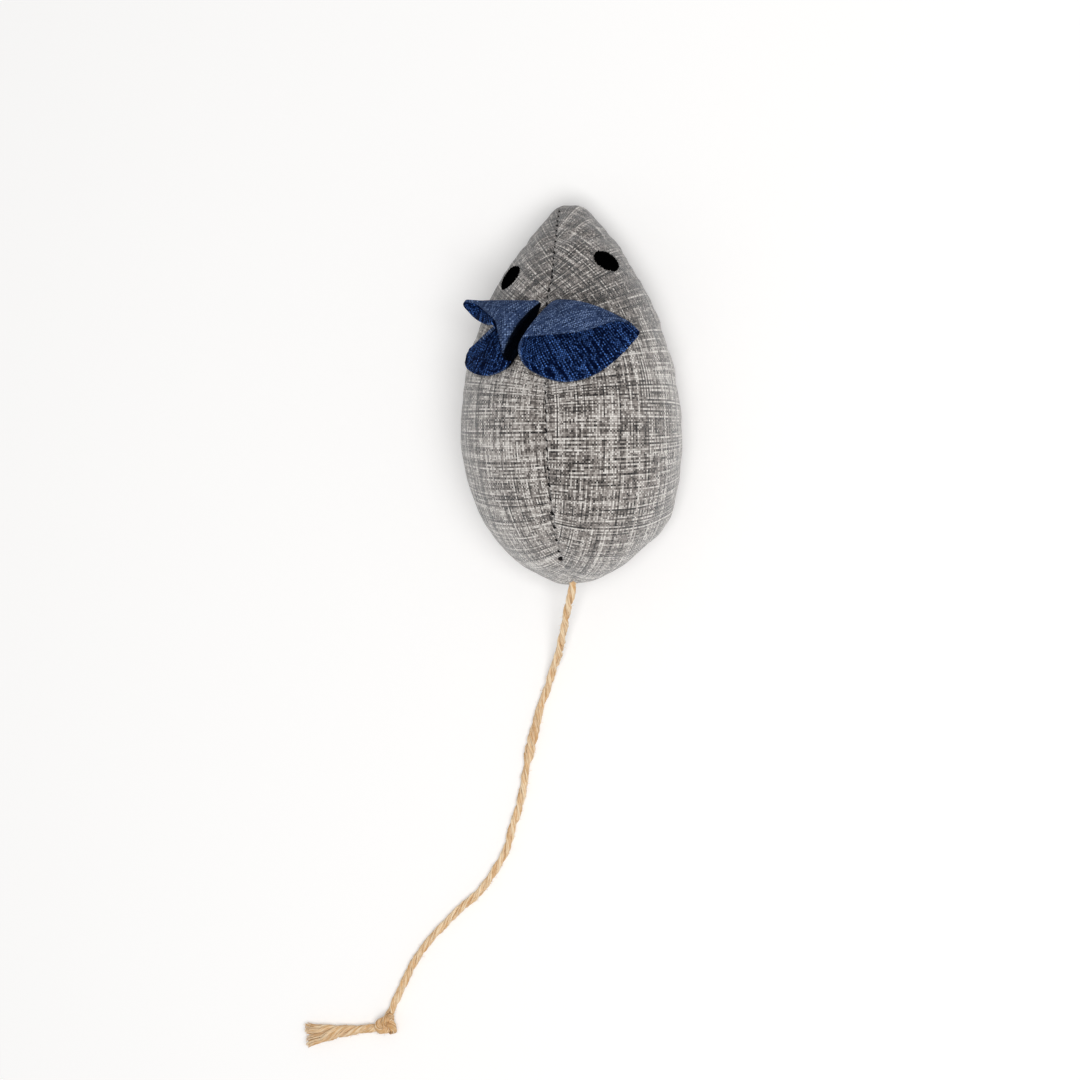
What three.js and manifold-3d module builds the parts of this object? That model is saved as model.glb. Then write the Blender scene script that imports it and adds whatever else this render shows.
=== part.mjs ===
// A stuffed catnip mouse: two side panels and a belly panel sewn round a fibre filling,
// with cloth ears, embroidered eyes and a knotted twine tail.
// Millimetres, +Z up, nose towards +Y, resting on its belly at z = 0.
import * as THREE from 'three';
import { mergeVertices } from 'three/addons/utils/BufferGeometryUtils.js';
import Module from 'manifold-3d';

const wasm = await Module();
wasm.setup();

// Body
const BODY_LENGTH = 85;
const BODY_WIDTH = 50;
const BODY_HEIGHT = 38;
const FRONT_LENGTH = 49.8; // from the nose to the widest section
const WIDEST_HEIGHT = 15;
const NOSE_HEIGHT = 11;
const TAIL_HEIGHT = 15;
const BELLY_PRESS = 3; // the depth of round belly that is pressed flat by the floor
const BELLY_SEAM_HEIGHT = 6;
// Exponents of the body's outline: 2 is an ellipse, less is more pointed.
const NOSE_ROUNDING = { along: 1.8, across: 1.4, crown: 1.6 };
const RUMP_ROUNDING = { along: 2.3, across: 1.8, crown: 1.25 };
const BELLY_ROUNDING = 0.8;

// Cloth and thread
const CLOTH = 0.8;
const SEAM_ALLOWANCE = 5;
const GAP = 0.3; // between pieces that lie against each other
const THREAD = 0.5;
const THREAD_DEPTH = 1.5; // of the seam threads below the surface
const CLOSING_LENGTH = 19; // hand-sewn end of the back seam, measured from the rump
const CLOSING_KNOT = 1.4;
const CLOSING_KNOT_DISTANCE = 4.5; // from the rump

// Eyes, at x and a distance from the nose, with the turn of their long axis from +X in degrees
const EYE_LENGTH = 6;
const EYE_WIDTH = 4.2;
const EYE_PAD = 0.7;
const LEFT_EYE = { x: -11.3, distance: 16.6, turn: 45 };
const RIGHT_EYE = { x: 10.2, distance: 13.7, turn: -18 };

// Ears: points round each rim, as x, y from the root and the height above the back
const EAR_CLOTH = 0.8;
const EAR_NECK = 2.4;
const EAR_PUFF = 1.5;
const EAR_ROOT_DISTANCE = 22.5; // from the nose
const EAR_ROOT_APART = 3.1;
const LEFT_EAR_RIM = [
  [-20, 0.5, 7], [-15.5, 0, 9.5], [-12, -2.5, 10], [-9.8, -5.5, 10], [-8.5, -9.5, 9.5], [-8.5, -13.5, 7],
  [-11, -15.5, 3], [-15, -16, 2], [-19.5, -14.5, 2.3], [-20.5, -10.5, 3.3], [-17.5, -7, 4], [-18.5, -3, 5],
];
const RIGHT_EAR_RIM = [
  [18.5, -7.5, 3], [16.5, -11.5, 2.5], [12, -16.5, 2], [4.5, -18.5, 2], [-1, -17, 2.2], [-4.5, -13.5, 4],
  [-5, -10, 6], [-2.5, -7.5, 7.5], [5, -8, 8.5], [13, -6.5, 9], [17.5, -5, 7],
];

// Filling
const POUCH_SIZE = new THREE.Vector3(18, 30, 11);
const POUCH_HEIGHT = 17;
const POUCH_MOUTH = 10; // width of the slit through which the pouch was pushed in

// Tail: [x, y, share of the exit's height] from the exit, down to the floor and along it
const TWINE = 2;
const TAIL_EXIT_CLEARANCE = 0.4;
const ROOT_KNOT = 5.2;
const ROOT_KNOT_DEPTH = 7;
const TAIL_KNOT = new THREE.Vector3(5.4, 5.4, 4.6);
const TUFT_LENGTH = 16.5;
const TUFT_WIDTH = 6;
const TUFT_FLATNESS = 0.45;
const TUFT_HEADING = 186; // degrees from +X
const FLOOR_GAP = 0.05;
const NEAR_ROUTE = [
  [0, 0, 1], [-1.2, -2.9, 0.95], [-3.1, -6.2, 0.76], [-5.1, -10.7, 0.52], [-7.1, -15.3, 0.29],
  [-8.95, -18.7, 0.14], [-10.9, -23.3, 0.03], [-12.5, -26.7, 0], [-13.8, -31.3, 0],
  [-15.1, -35.9, 0], [-16.7, -42.7, 0], [-17.3, -46.2, 0],
];
const FAR_ROUTE = [
  [-17.3, -46.2, 0], [-18.4, -50.3, 0], [-19.9, -54.2, 0], [-21.2, -58.8, 0], [-23.2, -62.7, 0],
  [-25.7, -66.3, 0], [-28.9, -70.2, 0], [-32.6, -73, 0], [-36.3, -76.5, 0], [-40, -80.1, 0],
  [-42.9, -83.6, 0], [-45.4, -87.5, 0], [-47.2, -91, 0], [-49, -94.5, 0], [-50.2, -97, 0],
];

// Facets
const BODY_RINGS = 18;
const BODY_COLUMNS = 28;
const EAR_RINGS = 6;
const EAR_COLUMNS = 24;
const EAR_HOLLOW_FROM = 2; // the ring where the inside of the ear starts
const EYE_SIDES = 20;
const BALL_SIDES = 12;
const BEAD_SIDES = 8;
const TUFT_SIDES = 12;
const THREAD_SIDES = 6;
const BACK_SEAM_STEPS = 16;
const CLOSING_STEPS = 7;
const BELLY_SEAM_STEPS = 28;
const TWINE_SIDES = 8;
const NEAR_STEPS = 14;
const FAR_STEPS = 18;

const NOSE_Y = BODY_LENGTH / 2;
const RUMP_Y = -BODY_LENGTH / 2;
const WIDEST_Y = NOSE_Y - FRONT_LENGTH;
const REACH = 2 * BODY_LENGTH; // larger than anything it cuts

// Solids

function solid(geometry) {
  const bare = geometry.clone();
  bare.deleteAttribute('normal');
  bare.deleteAttribute('uv');
  const merged = mergeVertices(bare, 1e-4);
  const vertProperties = new Float32Array(merged.attributes.position.array);
  const triVerts = new Uint32Array(merged.index.array);
  if (signedVolume(vertProperties, triVerts) < 0) {
    triVerts.reverse();
  }
  return new wasm.Manifold(new wasm.Mesh({ numProp: 3, vertProperties, triVerts }));
}

function signedVolume(points, triangles) {
  const [a, b, c] = [new THREE.Vector3(), new THREE.Vector3(), new THREE.Vector3()];
  let total = 0;
  for (let i = 0; i < triangles.length; i += 3) {
    a.fromArray(points, 3 * triangles[i]);
    b.fromArray(points, 3 * triangles[i + 1]);
    c.fromArray(points, 3 * triangles[i + 2]);
    total += a.dot(b.cross(c)) / 6;
  }
  return total;
}

function geometryOf(body) {
  const { vertProperties, triVerts } = body.getMesh();
  const geometry = new THREE.BufferGeometry();
  geometry.setAttribute('position', new THREE.BufferAttribute(vertProperties, 3));
  geometry.setIndex(new THREE.BufferAttribute(triVerts, 1));
  geometry.computeVertexNormals();
  return geometry;
}

function block(low, high) {
  const size = new THREE.Vector3().subVectors(high, low);
  const centre = new THREE.Vector3().addVectors(low, high).multiplyScalar(0.5);
  return solid(new THREE.BoxGeometry(size.x, size.y, size.z).translate(centre.x, centre.y, centre.z));
}

function ball(size, centre, sides = BALL_SIDES) {
  const shape = new THREE.SphereGeometry(0.5, sides, sides / 2).rotateX(Math.PI / 2);
  return solid(shape.scale(size.x, size.y, size.z).translate(centre.x, centre.y, centre.z));
}

function roundBall(diameter, centre, sides) {
  return ball(new THREE.Vector3(diameter, diameter, diameter), centre, sides);
}

function tube(points, diameter, sides, steps) {
  const corners = Array.from({ length: sides }, (_, i) => {
    const angle = (2 * Math.PI * i) / sides;
    return new THREE.Vector2(Math.cos(angle), Math.sin(angle)).multiplyScalar(diameter / 2);
  });
  const extrudePath = new THREE.CatmullRomCurve3(points);
  return solid(new THREE.ExtrudeGeometry(new THREE.Shape(corners), { steps, extrudePath }));
}

// Joins rings of points into one closed surface, with a fan to a tip at each end.
function loft(rings, startTip, endTip) {
  const columns = rings[0].length;
  const points = [startTip, ...rings.flat(), endTip];
  const last = points.length - 1;
  const index = [];
  for (let j = 0; j < columns; j += 1) {
    const next = (j + 1) % columns;
    index.push(0, 1 + next, 1 + j);
    for (let i = 0; i + 1 < rings.length; i += 1) {
      const [low, high] = [1 + i * columns, 1 + (i + 1) * columns];
      index.push(low + j, low + next, high + next, low + j, high + next, high + j);
    }
    const top = last - columns;
    index.push(last, top + j, top + next);
  }
  const geometry = new THREE.BufferGeometry().setFromPoints(points);
  geometry.setIndex(index);
  return solid(geometry);
}

// The body's shape: a lengthwise angle b from the rump (-90 degrees) to the nose (90 degrees), and an angle
// a round each section. The inset moves the surface inwards by the thickness of what lies outside it.

function ends(b) {
  return b > 0
    ? { length: FRONT_LENGTH, height: NOSE_HEIGHT, sign: 1, ...NOSE_ROUNDING }
    : { length: BODY_LENGTH - FRONT_LENGTH, height: TAIL_HEIGHT, sign: -1, ...RUMP_ROUNDING };
}

function section(b, inset) {
  const end = ends(b);
  const run = Math.abs(Math.sin(b));
  const girth = Math.max(Math.cos(b), 0);
  return {
    y: WIDEST_Y + end.sign * (end.length - inset) * run ** (2 / end.along),
    halfWidth: (BODY_WIDTH / 2 - inset) * girth ** (2 / end.across),
    middle: end.height + (WIDEST_HEIGHT - end.height) * girth,
    above: (BODY_HEIGHT - WIDEST_HEIGHT - inset) * girth ** end.crown,
    below: (WIDEST_HEIGHT + BELLY_PRESS - inset) * girth ** BELLY_ROUNDING,
  };
}

function bodyPoint(b, a, inset) {
  const { y, halfWidth, middle, above, below } = section(b, inset);
  const rise = Math.sin(a);
  return new THREE.Vector3(halfWidth * Math.cos(a), y, middle + rise * (rise > 0 ? above : below));
}

function angleAt(y) {
  const end = ends(y - WIDEST_Y);
  const share = Math.min(Math.abs(y - WIDEST_Y) / end.length, 1);
  return end.sign * Math.asin(share ** (end.along / 2));
}

// The height of the back at a point in plan. Past the flank it stays at the flank's height.
const FLANK_SHARE = 0.9;
function backHeight(x, y) {
  const { halfWidth, middle, above } = section(angleAt(y), 0);
  const share = Math.min(Math.abs(x) / halfWidth, FLANK_SHARE);
  return middle + above * Math.sqrt(1 - share * share);
}

function roundBody(inset) {
  const rings = [];
  for (let i = 1; i < BODY_RINGS; i += 1) {
    const b = Math.PI * (i / BODY_RINGS - 0.5);
    const ring = [];
    for (let j = 0; j < BODY_COLUMNS; j += 1) {
      ring.push(bodyPoint(b, (2 * Math.PI * j) / BODY_COLUMNS, inset));
    }
    rings.push(ring);
  }
  return loft(rings, bodyPoint(-Math.PI / 2, 0, inset), bodyPoint(Math.PI / 2, 0, inset));
}

// The round body, pressed flat where it rests on the floor
function body(inset) {
  return roundBody(inset).intersect(region({ z: [inset, REACH] }));
}

// A box that is open-ended along every axis that isn't named.
function region({ x = [-REACH, REACH], y = [-REACH, REACH], z = [-REACH, REACH] }) {
  return block(new THREE.Vector3(x[0], y[0], z[0]), new THREE.Vector3(x[1], y[1], z[1]));
}

const outside = body(0);
const shell = outside.subtract(body(CLOTH));
const seamZone = outside.subtract(roundBody(CLOTH + SEAM_ALLOWANCE));

// Tail exit: the twine leaves through a hole in the back seam, from a knot inside the filling.
const EXIT = new THREE.Vector3(0, RUMP_Y - TWINE / 2 - TAIL_EXIT_CLEARANCE, TAIL_HEIGHT);
const ROOT_CENTRE = new THREE.Vector3(0, RUMP_Y + ROOT_KNOT_DEPTH, TAIL_HEIGHT);

function tailRoot(clearance) {
  const stubEnd = new THREE.Vector3(0, EXIT.y + TWINE / 2 + GAP - clearance, TAIL_HEIGHT);
  const stub = tube([ROOT_CENTRE, stubEnd], TWINE + 2 * clearance, TWINE_SIDES, 1);
  return stub.add(roundBall(ROOT_KNOT + 2 * clearance, ROOT_CENTRE));
}

const tailHole = tailRoot(TAIL_EXIT_CLEARANCE);

// Seam threads, each in a channel between the two seam allowances

function ridgeRun(fromY, toY, depth, count) {
  const [from, to] = [angleAt(fromY), angleAt(toY)];
  return Array.from({ length: count }, (_, i) => {
    return bodyPoint(from + ((to - from) * i) / (count - 1), Math.PI / 2, depth);
  });
}

const CLOSING_START_Y = RUMP_Y + CLOSING_LENGTH;
const CLOSING_KNOT_Y = RUMP_Y + CLOSING_KNOT_DISTANCE;
const NOSE_START_Y = NOSE_Y - THREAD_DEPTH;
const backSeamRun = ridgeRun(NOSE_START_Y, CLOSING_START_Y + THREAD, THREAD_DEPTH, BACK_SEAM_STEPS);
const closingRun = [
  ...ridgeRun(CLOSING_START_Y, CLOSING_KNOT_Y + 2 * CLOSING_KNOT, THREAD_DEPTH, CLOSING_STEPS - 2),
  bodyPoint(angleAt(CLOSING_KNOT_Y), Math.PI / 2, -CLOSING_KNOT / 2 - GAP),
];

const closingKnot = roundBall(CLOSING_KNOT, closingRun.at(-1), BEAD_SIDES);

// The angle at which a section's lowest point comes up to the belly seam, near one end of the body
function beltEnd(sign, inset) {
  let [low, high] = [0, Math.PI / 2];
  for (let i = 0; i < 40; i += 1) {
    const b = (low + high) / 2;
    const { middle, below } = section(sign * b, inset);
    if (middle - below < BELLY_SEAM_HEIGHT) {
      low = b;
    } else {
      high = b;
    }
  }
  return sign * low;
}

function beltPoint(b, side, inset) {
  const { y, halfWidth, middle, below } = section(b, inset);
  const drop = Math.min((middle - BELLY_SEAM_HEIGHT) / below, 1);
  return new THREE.Vector3(side * halfWidth * Math.sqrt(1 - drop * drop), y, BELLY_SEAM_HEIGHT);
}

// Once round the body along the belly seam, from one side of the rump to the other
function bellySeamRun() {
  const [rump, nose] = [beltEnd(-1, THREAD_DEPTH), beltEnd(1, THREAD_DEPTH)];
  const run = [];
  for (let i = 1; i < BELLY_SEAM_STEPS; i += 1) {
    const turn = (2 * Math.PI * i) / BELLY_SEAM_STEPS;
    const b = rump + ((nose - rump) * (1 - Math.cos(turn))) / 2;
    run.push(beltPoint(b, turn < Math.PI ? 1 : -1, THREAD_DEPTH));
  }
  return run;
}

function backSeamTube(diameter) {
  return tube(backSeamRun, diameter, THREAD_SIDES, BACK_SEAM_STEPS);
}

function closingTube(diameter) {
  return tube(closingRun, diameter, THREAD_SIDES, CLOSING_STEPS);
}

function bellySeamTube(diameter) {
  return tube(bellySeamRun(), diameter, THREAD_SIDES, BELLY_SEAM_STEPS);
}

const CHANNEL = THREAD + 2 * GAP;
const seamChannels = backSeamTube(CHANNEL).add(closingTube(CHANNEL)).add(bellySeamTube(CHANNEL));

// Cloth panels, with their edges turned in along the seams

const seamUpper = BELLY_SEAM_HEIGHT + GAP / 2;
const seamLower = BELLY_SEAM_HEIGHT - GAP / 2;

function sidePanel(side) {
  const across = (from, to) => (side > 0 ? [from, to] : [-to, -from]);
  const backEdge = seamZone.intersect(region({ x: across(GAP / 2, GAP / 2 + CLOTH) }));
  const bellyEdge = seamZone.intersect(region({ z: [seamUpper, seamUpper + CLOTH] }));
  const quarter = region({ x: across(GAP / 2, REACH), z: [seamUpper, REACH] });
  return shell.add(backEdge).add(bellyEdge).intersect(quarter).subtract(seamChannels).subtract(tailHole);
}

function bellyPanel() {
  const edge = seamZone.intersect(region({ z: [seamLower - CLOTH, seamLower] }));
  return shell.add(edge).intersect(region({ z: [-REACH, seamLower] })).subtract(seamChannels);
}

// Filling and catnip pouch

const POUCH_CENTRE = new THREE.Vector3(0, WIDEST_Y, POUCH_HEIGHT);

function fibreFilling() {
  const allowance = outside.subtract(roundBody(CLOTH + SEAM_ALLOWANCE + GAP));
  const edge = GAP / 2 + CLOTH + GAP;
  const backGroove = region({ x: [-edge, edge], z: [BELLY_SEAM_HEIGHT, REACH] });
  const bellyGroove = region({ z: [BELLY_SEAM_HEIGHT - edge, BELLY_SEAM_HEIGHT + edge] });
  const pocket = ball(POUCH_SIZE.clone().addScalar(2 * GAP), POUCH_CENTRE);
  const slit = block(
    new THREE.Vector3(-POUCH_MOUTH / 2, WIDEST_Y - POUCH_MOUTH / 2, 0),
    new THREE.Vector3(POUCH_MOUTH / 2, WIDEST_Y + POUCH_MOUTH / 2, POUCH_HEIGHT),
  );
  return body(CLOTH + GAP)
    .subtract(allowance.intersect(backGroove))
    .subtract(allowance.intersect(bellyGroove))
    .subtract(pocket)
    .subtract(slit)
    .subtract(tailHole);
}

// Eyes: pads of satin stitch that follow the panel under them

function backNormal(x, y) {
  const step = 0.1;
  const slopeX = (backHeight(x + step, y) - backHeight(x - step, y)) / (2 * step);
  const slopeY = (backHeight(x, y + step) - backHeight(x, y - step)) / (2 * step);
  return new THREE.Vector3(-slopeX, -slopeY, 1).normalize();
}

function eye({ x, distance, turn }) {
  const y = NOSE_Y - distance;
  const normal = backNormal(x, y);
  const heading = THREE.MathUtils.degToRad(turn);
  const plan = new THREE.Vector3(Math.cos(heading), Math.sin(heading), 0);
  const long = plan.addScaledVector(normal, -plan.dot(normal)).normalize();
  const short = new THREE.Vector3().crossVectors(long, normal);
  const frame = new THREE.Matrix4().makeBasis(long, normal, short).setPosition(x, y, backHeight(x, y));
  const oval = new THREE.CylinderGeometry(0.5, 0.5, 4 * (GAP + EYE_PAD), EYE_SIDES);
  oval.scale(EYE_LENGTH, 1, EYE_WIDTH).applyMatrix4(frame);
  return body(-GAP - EYE_PAD).subtract(body(-GAP)).intersect(solid(oval));
}

// Ears: a round of cloth gathered to a neck at the back seam, so that it opens like a cup

const EAR_ROOT_Y = NOSE_Y - EAR_ROOT_DISTANCE;

function earRoot(side) {
  return new THREE.Vector3((side * EAR_ROOT_APART) / 2, EAR_ROOT_Y, EAR_NECK / 2 + GAP);
}

// A point whose z is its height above the back, moved to where it is above the floor
function onBack({ x, y, z }) {
  return new THREE.Vector3(x, y, backHeight(x, y) + z);
}

// One ring of the cup, from the neck (share 0) to the rim (share 1). Its upper side puffs out.
function earRing(rim, root, share) {
  const heights = rim.map((point) => point.z);
  const [low, high] = [Math.min(...heights), Math.max(...heights)];
  return rim.map((point) => {
    const ringPoint = root.clone().lerp(point, share);
    ringPoint.z += (4 * EAR_PUFF * share * (1 - share) * (point.z - low)) / (high - low);
    return ringPoint;
  });
}

function centreOf(ring) {
  return ring.reduce((sum, point) => sum.add(point), new THREE.Vector3()).divideScalar(ring.length);
}

// The same ring drawn in by the cloth's thickness
function innerRing(ring) {
  const centre = centreOf(ring);
  const offsets = ring.map((point) => point.clone().sub(centre));
  const reach = Math.max(...offsets.map((offset) => Math.hypot(offset.x, offset.y)));
  const rise = Math.max(...offsets.map((offset) => Math.abs(offset.z)));
  const flat = 1 - EAR_CLOTH / reach;
  const tall = 1 - EAR_CLOTH / rise;
  return offsets.map((offset) => offset.multiply(new THREE.Vector3(flat, flat, tall)).add(centre));
}

function ear(rimPoints, side) {
  const corners = rimPoints.map(([x, y, z]) => new THREE.Vector3(x, EAR_ROOT_Y + y, z));
  const curve = new THREE.CatmullRomCurve3(corners, true);
  const rim = curve.getSpacedPoints(EAR_COLUMNS).slice(0, EAR_COLUMNS);
  const root = earRoot(side);
  const shares = Array.from({ length: EAR_RINGS }, (_, i) => (i + 1) / EAR_RINGS);
  const outer = shares.map((share) => earRing(rim, root, share));
  const inner = outer.slice(EAR_HOLLOW_FROM).map(innerRing).reverse();
  const seated = [...outer, ...inner].map((ring) => ring.map(onBack));
  const cup = loft(seated, onBack(root), onBack(centreOf(inner.at(-1))));
  return cup.add(roundBall(EAR_NECK, onBack(root), BEAD_SIDES));
}

// Tail twine, its knot and its frayed end

const LAID_HEIGHT = TWINE / 2 + FLOOR_GAP;

function routePoint([x, y, share]) {
  return new THREE.Vector3(x, EXIT.y + y, LAID_HEIGHT + share * (TAIL_HEIGHT - LAID_HEIGHT));
}

const nearCurve = new THREE.CatmullRomCurve3(NEAR_ROUTE.map(routePoint));
const farCurve = new THREE.CatmullRomCurve3(FAR_ROUTE.map(routePoint));

// Twine along a curve, with a ball at its start that the hinge there turns in place
function twine(curve, endTrim, steps) {
  const end = 1 - endTrim / curve.getLength();
  const points = Array.from({ length: steps + 1 }, (_, i) => curve.getPointAt((end * i) / steps));
  return tube(points, TWINE, TWINE_SIDES, steps).add(roundBall(TWINE, points[0], TWINE_SIDES));
}

const knotCentre = farCurve.getTangentAt(1)
  .multiplyScalar(TAIL_KNOT.x / 2 + GAP)
  .add(farCurve.getPointAt(1))
  .setZ(TAIL_KNOT.z / 2 + FLOOR_GAP);

function tailTuft() {
  const flare = new THREE.CylinderGeometry(TUFT_WIDTH / 2, TWINE / 2, TUFT_LENGTH, TUFT_SIDES);
  flare.rotateZ(-Math.PI / 2).translate(TUFT_LENGTH / 2 + TAIL_KNOT.x / 2 + GAP, 0, 0);
  flare.scale(1, 1, TUFT_FLATNESS).rotateZ(THREE.MathUtils.degToRad(TUFT_HEADING));
  const height = (TUFT_WIDTH / 2) * TUFT_FLATNESS + FLOOR_GAP;
  return solid(flare.translate(knotCentre.x, knotCentre.y, height));
}

// Assembly

const greyCloth = new THREE.MeshStandardMaterial({ color: '#98918c', roughness: 0.95, metalness: 0 });
const blueCloth = new THREE.MeshStandardMaterial({ color: '#43506c', roughness: 0.95, metalness: 0 });
const blackFloss = new THREE.MeshStandardMaterial({ color: '#0a0a0b', roughness: 0.6, metalness: 0 });
const darkThread = new THREE.MeshStandardMaterial({ color: '#232225', roughness: 0.8, metalness: 0 });
const whiteFibre = new THREE.MeshStandardMaterial({ color: '#e8e5df', roughness: 1, metalness: 0 });
const driedLeaf = new THREE.MeshStandardMaterial({ color: '#7c8455', roughness: 1, metalness: 0 });
const jute = new THREE.MeshStandardMaterial({ color: '#cda57c', roughness: 0.9, metalness: 0 });

const mouse = new THREE.Group();

function addPiece(name, shape, material) {
  const mesh = new THREE.Mesh(geometryOf(shape), material);
  mesh.name = name;
  mouse.add(mesh);
}

addPiece('left_side_panel', sidePanel(-1), greyCloth);
addPiece('right_side_panel', sidePanel(1), greyCloth);
addPiece('belly_panel', bellyPanel(), greyCloth);
addPiece('fibre_filling', fibreFilling(), whiteFibre);
addPiece('catnip_pouch', ball(POUCH_SIZE, POUCH_CENTRE), driedLeaf);
addPiece('back_seam_thread', backSeamTube(THREAD), darkThread);
addPiece('closing_thread', closingTube(THREAD).add(closingKnot), darkThread);
addPiece('belly_seam_thread', bellySeamTube(THREAD), darkThread);
addPiece('left_eye', eye(LEFT_EYE), blackFloss);
addPiece('right_eye', eye(RIGHT_EYE), blackFloss);
addPiece('left_ear', ear(LEFT_EAR_RIM, -1), blueCloth);
addPiece('right_ear', ear(RIGHT_EAR_RIM, 1), blueCloth);
addPiece('tail_root', tailRoot(0), jute);
addPiece('tail_cord_near', twine(nearCurve, TWINE / 2 + GAP, NEAR_STEPS), jute);
addPiece('tail_cord_far', twine(farCurve, 0, FAR_STEPS), jute);
addPiece('tail_knot', ball(TAIL_KNOT, knotCentre), jute);
addPiece('tail_tuft', tailTuft(), jute);

export default mouse;
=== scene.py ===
"""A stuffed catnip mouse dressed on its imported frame: cloth panels blown out over their filling, sewn seams,
cupped cloth ears, satin-stitch eyes and a knotted two-ply jute tail.
Lengths are written in millimetres and turned to metres where they enter Blender."""
import math
from functools import partial

import bmesh
import bpy
import numpy as np
from mathutils import Matrix, Vector, noise
from mathutils.bvhtree import BVHTree


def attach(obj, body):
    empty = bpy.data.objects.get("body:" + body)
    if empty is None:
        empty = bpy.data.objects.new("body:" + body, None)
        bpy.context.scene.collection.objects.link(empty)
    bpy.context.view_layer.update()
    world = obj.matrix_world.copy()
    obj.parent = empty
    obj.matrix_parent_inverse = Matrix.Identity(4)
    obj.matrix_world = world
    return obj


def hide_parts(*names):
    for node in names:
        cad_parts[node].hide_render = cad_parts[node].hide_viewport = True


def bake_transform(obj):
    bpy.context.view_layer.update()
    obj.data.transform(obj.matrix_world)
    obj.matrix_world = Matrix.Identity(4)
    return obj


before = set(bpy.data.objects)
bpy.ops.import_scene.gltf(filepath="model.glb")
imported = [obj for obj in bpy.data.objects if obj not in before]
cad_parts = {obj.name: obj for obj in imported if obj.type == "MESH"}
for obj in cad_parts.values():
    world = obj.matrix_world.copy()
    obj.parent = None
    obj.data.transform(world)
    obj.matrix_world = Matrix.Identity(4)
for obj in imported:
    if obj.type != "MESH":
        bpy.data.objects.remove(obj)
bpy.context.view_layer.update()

MM = 0.001
UP = Vector((0, 0, 1))
FULL_TURN = 2 * math.pi
WHITE = (1, 1, 1, 1)

# Camera, found from the photograph: square frame, looking down with the mouse rolled a little to its left
CAMERA_PLACE = (214.105, -32.851, 874.241)
CAMERA_RIGHT = (0.96782, -0.02618, -0.25029)
CAMERA_UP = (0.02534, 0.99966, -0.00655)
CAMERA_BACK = (0.25038, 0.0, 0.96815)
CAMERA_ANGLE = 15.62

# Body form, as in the part's source
BODY_LENGTH = 85
BODY_WIDTH = 50
BODY_HEIGHT = 38
FRONT_LENGTH = 49.8
WIDEST_HEIGHT = 15
NOSE_HEIGHT = 11
TAIL_HEIGHT = 15
BELLY_PRESS = 3
BELLY_SEAM_HEIGHT = 6
NOSE_ROUNDING = {"along": 1.8, "across": 1.4, "crown": 1.6}
RUMP_ROUNDING = {"along": 2.3, "across": 1.8, "crown": 1.25}
BELLY_ROUNDING = 0.8
NOSE_Y = BODY_LENGTH / 2
RUMP_Y = -BODY_LENGTH / 2
WIDEST_Y = NOSE_Y - FRONT_LENGTH
FLANK_SHARE = 0.9

# Tail route, as in the part's source: x, y from the exit and share of the exit's height
TWINE = 2
EXIT_GAP = 0.4
LAID_GAP = 0.05
EXIT_Y = RUMP_Y - TWINE / 2 - EXIT_GAP
LAID_HEIGHT = TWINE / 2 + LAID_GAP
TAIL_ROUTE = [
    (-0.6, 3.4, 1), (-0.9, 0, 1), (-1.8, -2.9, 0.95), (-3.3, -6.2, 0.76), (-5.1, -10.7, 0.52),
    (-7.1, -15.3, 0.29), (-8.95, -18.7, 0.14), (-10.9, -23.3, 0.03), (-12.5, -26.7, 0), (-13.8, -31.3, 0),
    (-15.1, -35.9, 0), (-16.7, -42.7, 0), (-17.3, -46.2, 0), (-18.4, -50.3, 0), (-19.9, -54.2, 0),
    (-21.2, -58.8, 0), (-23.2, -62.7, 0), (-25.7, -66.3, 0), (-28.9, -70.2, 0), (-32.6, -73, 0),
    (-36.3, -76.5, 0), (-40, -80.1, 0), (-42.9, -83.6, 0), (-45.4, -87.5, 0), (-47.2, -91, 0),
    (-49, -94.5, 0), (-50.2, -97, 0),
]
KNOT_CENTRE = (-51.5, -143.6, 2.35)
TUFT_HEADING = 186

# Small helpers


def linear(code):
    """An sRGB hex colour as the linear colour that a shader takes."""
    shares = [int(code[i:i + 2], 16) / 255 for i in (1, 3, 5)]
    return [c / 12.92 if c <= 0.04045 else ((c + 0.055) / 1.055) ** 2.4 for c in shares] + [1]


def fill(tree, node, inputs):
    """Fills a node's inputs with values, sockets or other nodes' first outputs."""
    for key, value in inputs.items():
        source = value.outputs[0] if isinstance(value, bpy.types.Node) else value
        if isinstance(source, bpy.types.NodeSocket):
            tree.links.new(source, node.inputs[key])
        else:
            node.inputs[key].default_value = source
    return node


def add_node(tree, kind, inputs=None, **settings):
    """Adds a node, sets it up and fills its inputs."""
    node = tree.nodes.new(kind)
    for name, value in settings.items():
        setattr(node, name, value)
    return fill(tree, node, inputs or {})


def add_sum(tree, kind, operation, *values):
    """Adds a node that works something out from up to three values."""
    return add_node(tree, kind, dict(enumerate(values)), operation=operation)


def adders(tree):
    """Functions that add a node, a sum of numbers and a sum of vectors to one tree."""
    return (partial(add_node, tree), partial(add_sum, tree, "ShaderNodeMath"),
            partial(add_sum, tree, "ShaderNodeVectorMath"))


def put_in_scene(name, data, *materials):
    """A new object at the origin that shows a mesh, a camera or a lamp."""
    piece = bpy.data.objects.new(name, data)
    bpy.context.scene.collection.objects.link(piece)
    for material in materials:
        data.materials.append(material)
    return piece


def mesh_of(name, points, faces=(), edges=()):
    """A mesh from points in millimetres."""
    mesh = bpy.data.meshes.new(name)
    places = [tuple(float(c) * MM for c in p) for p in points]
    mesh.from_pydata(places, [tuple(e) for e in edges], [tuple(f) for f in faces])
    mesh.validate()
    return mesh


def settle(piece):
    """Turns a piece's modifiers into plain mesh."""
    evaluated = piece.evaluated_get(bpy.context.evaluated_depsgraph_get())
    mesh = bpy.data.meshes.new_from_object(evaluated)
    piece.modifiers.clear()
    piece.data = mesh
    return piece


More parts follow.
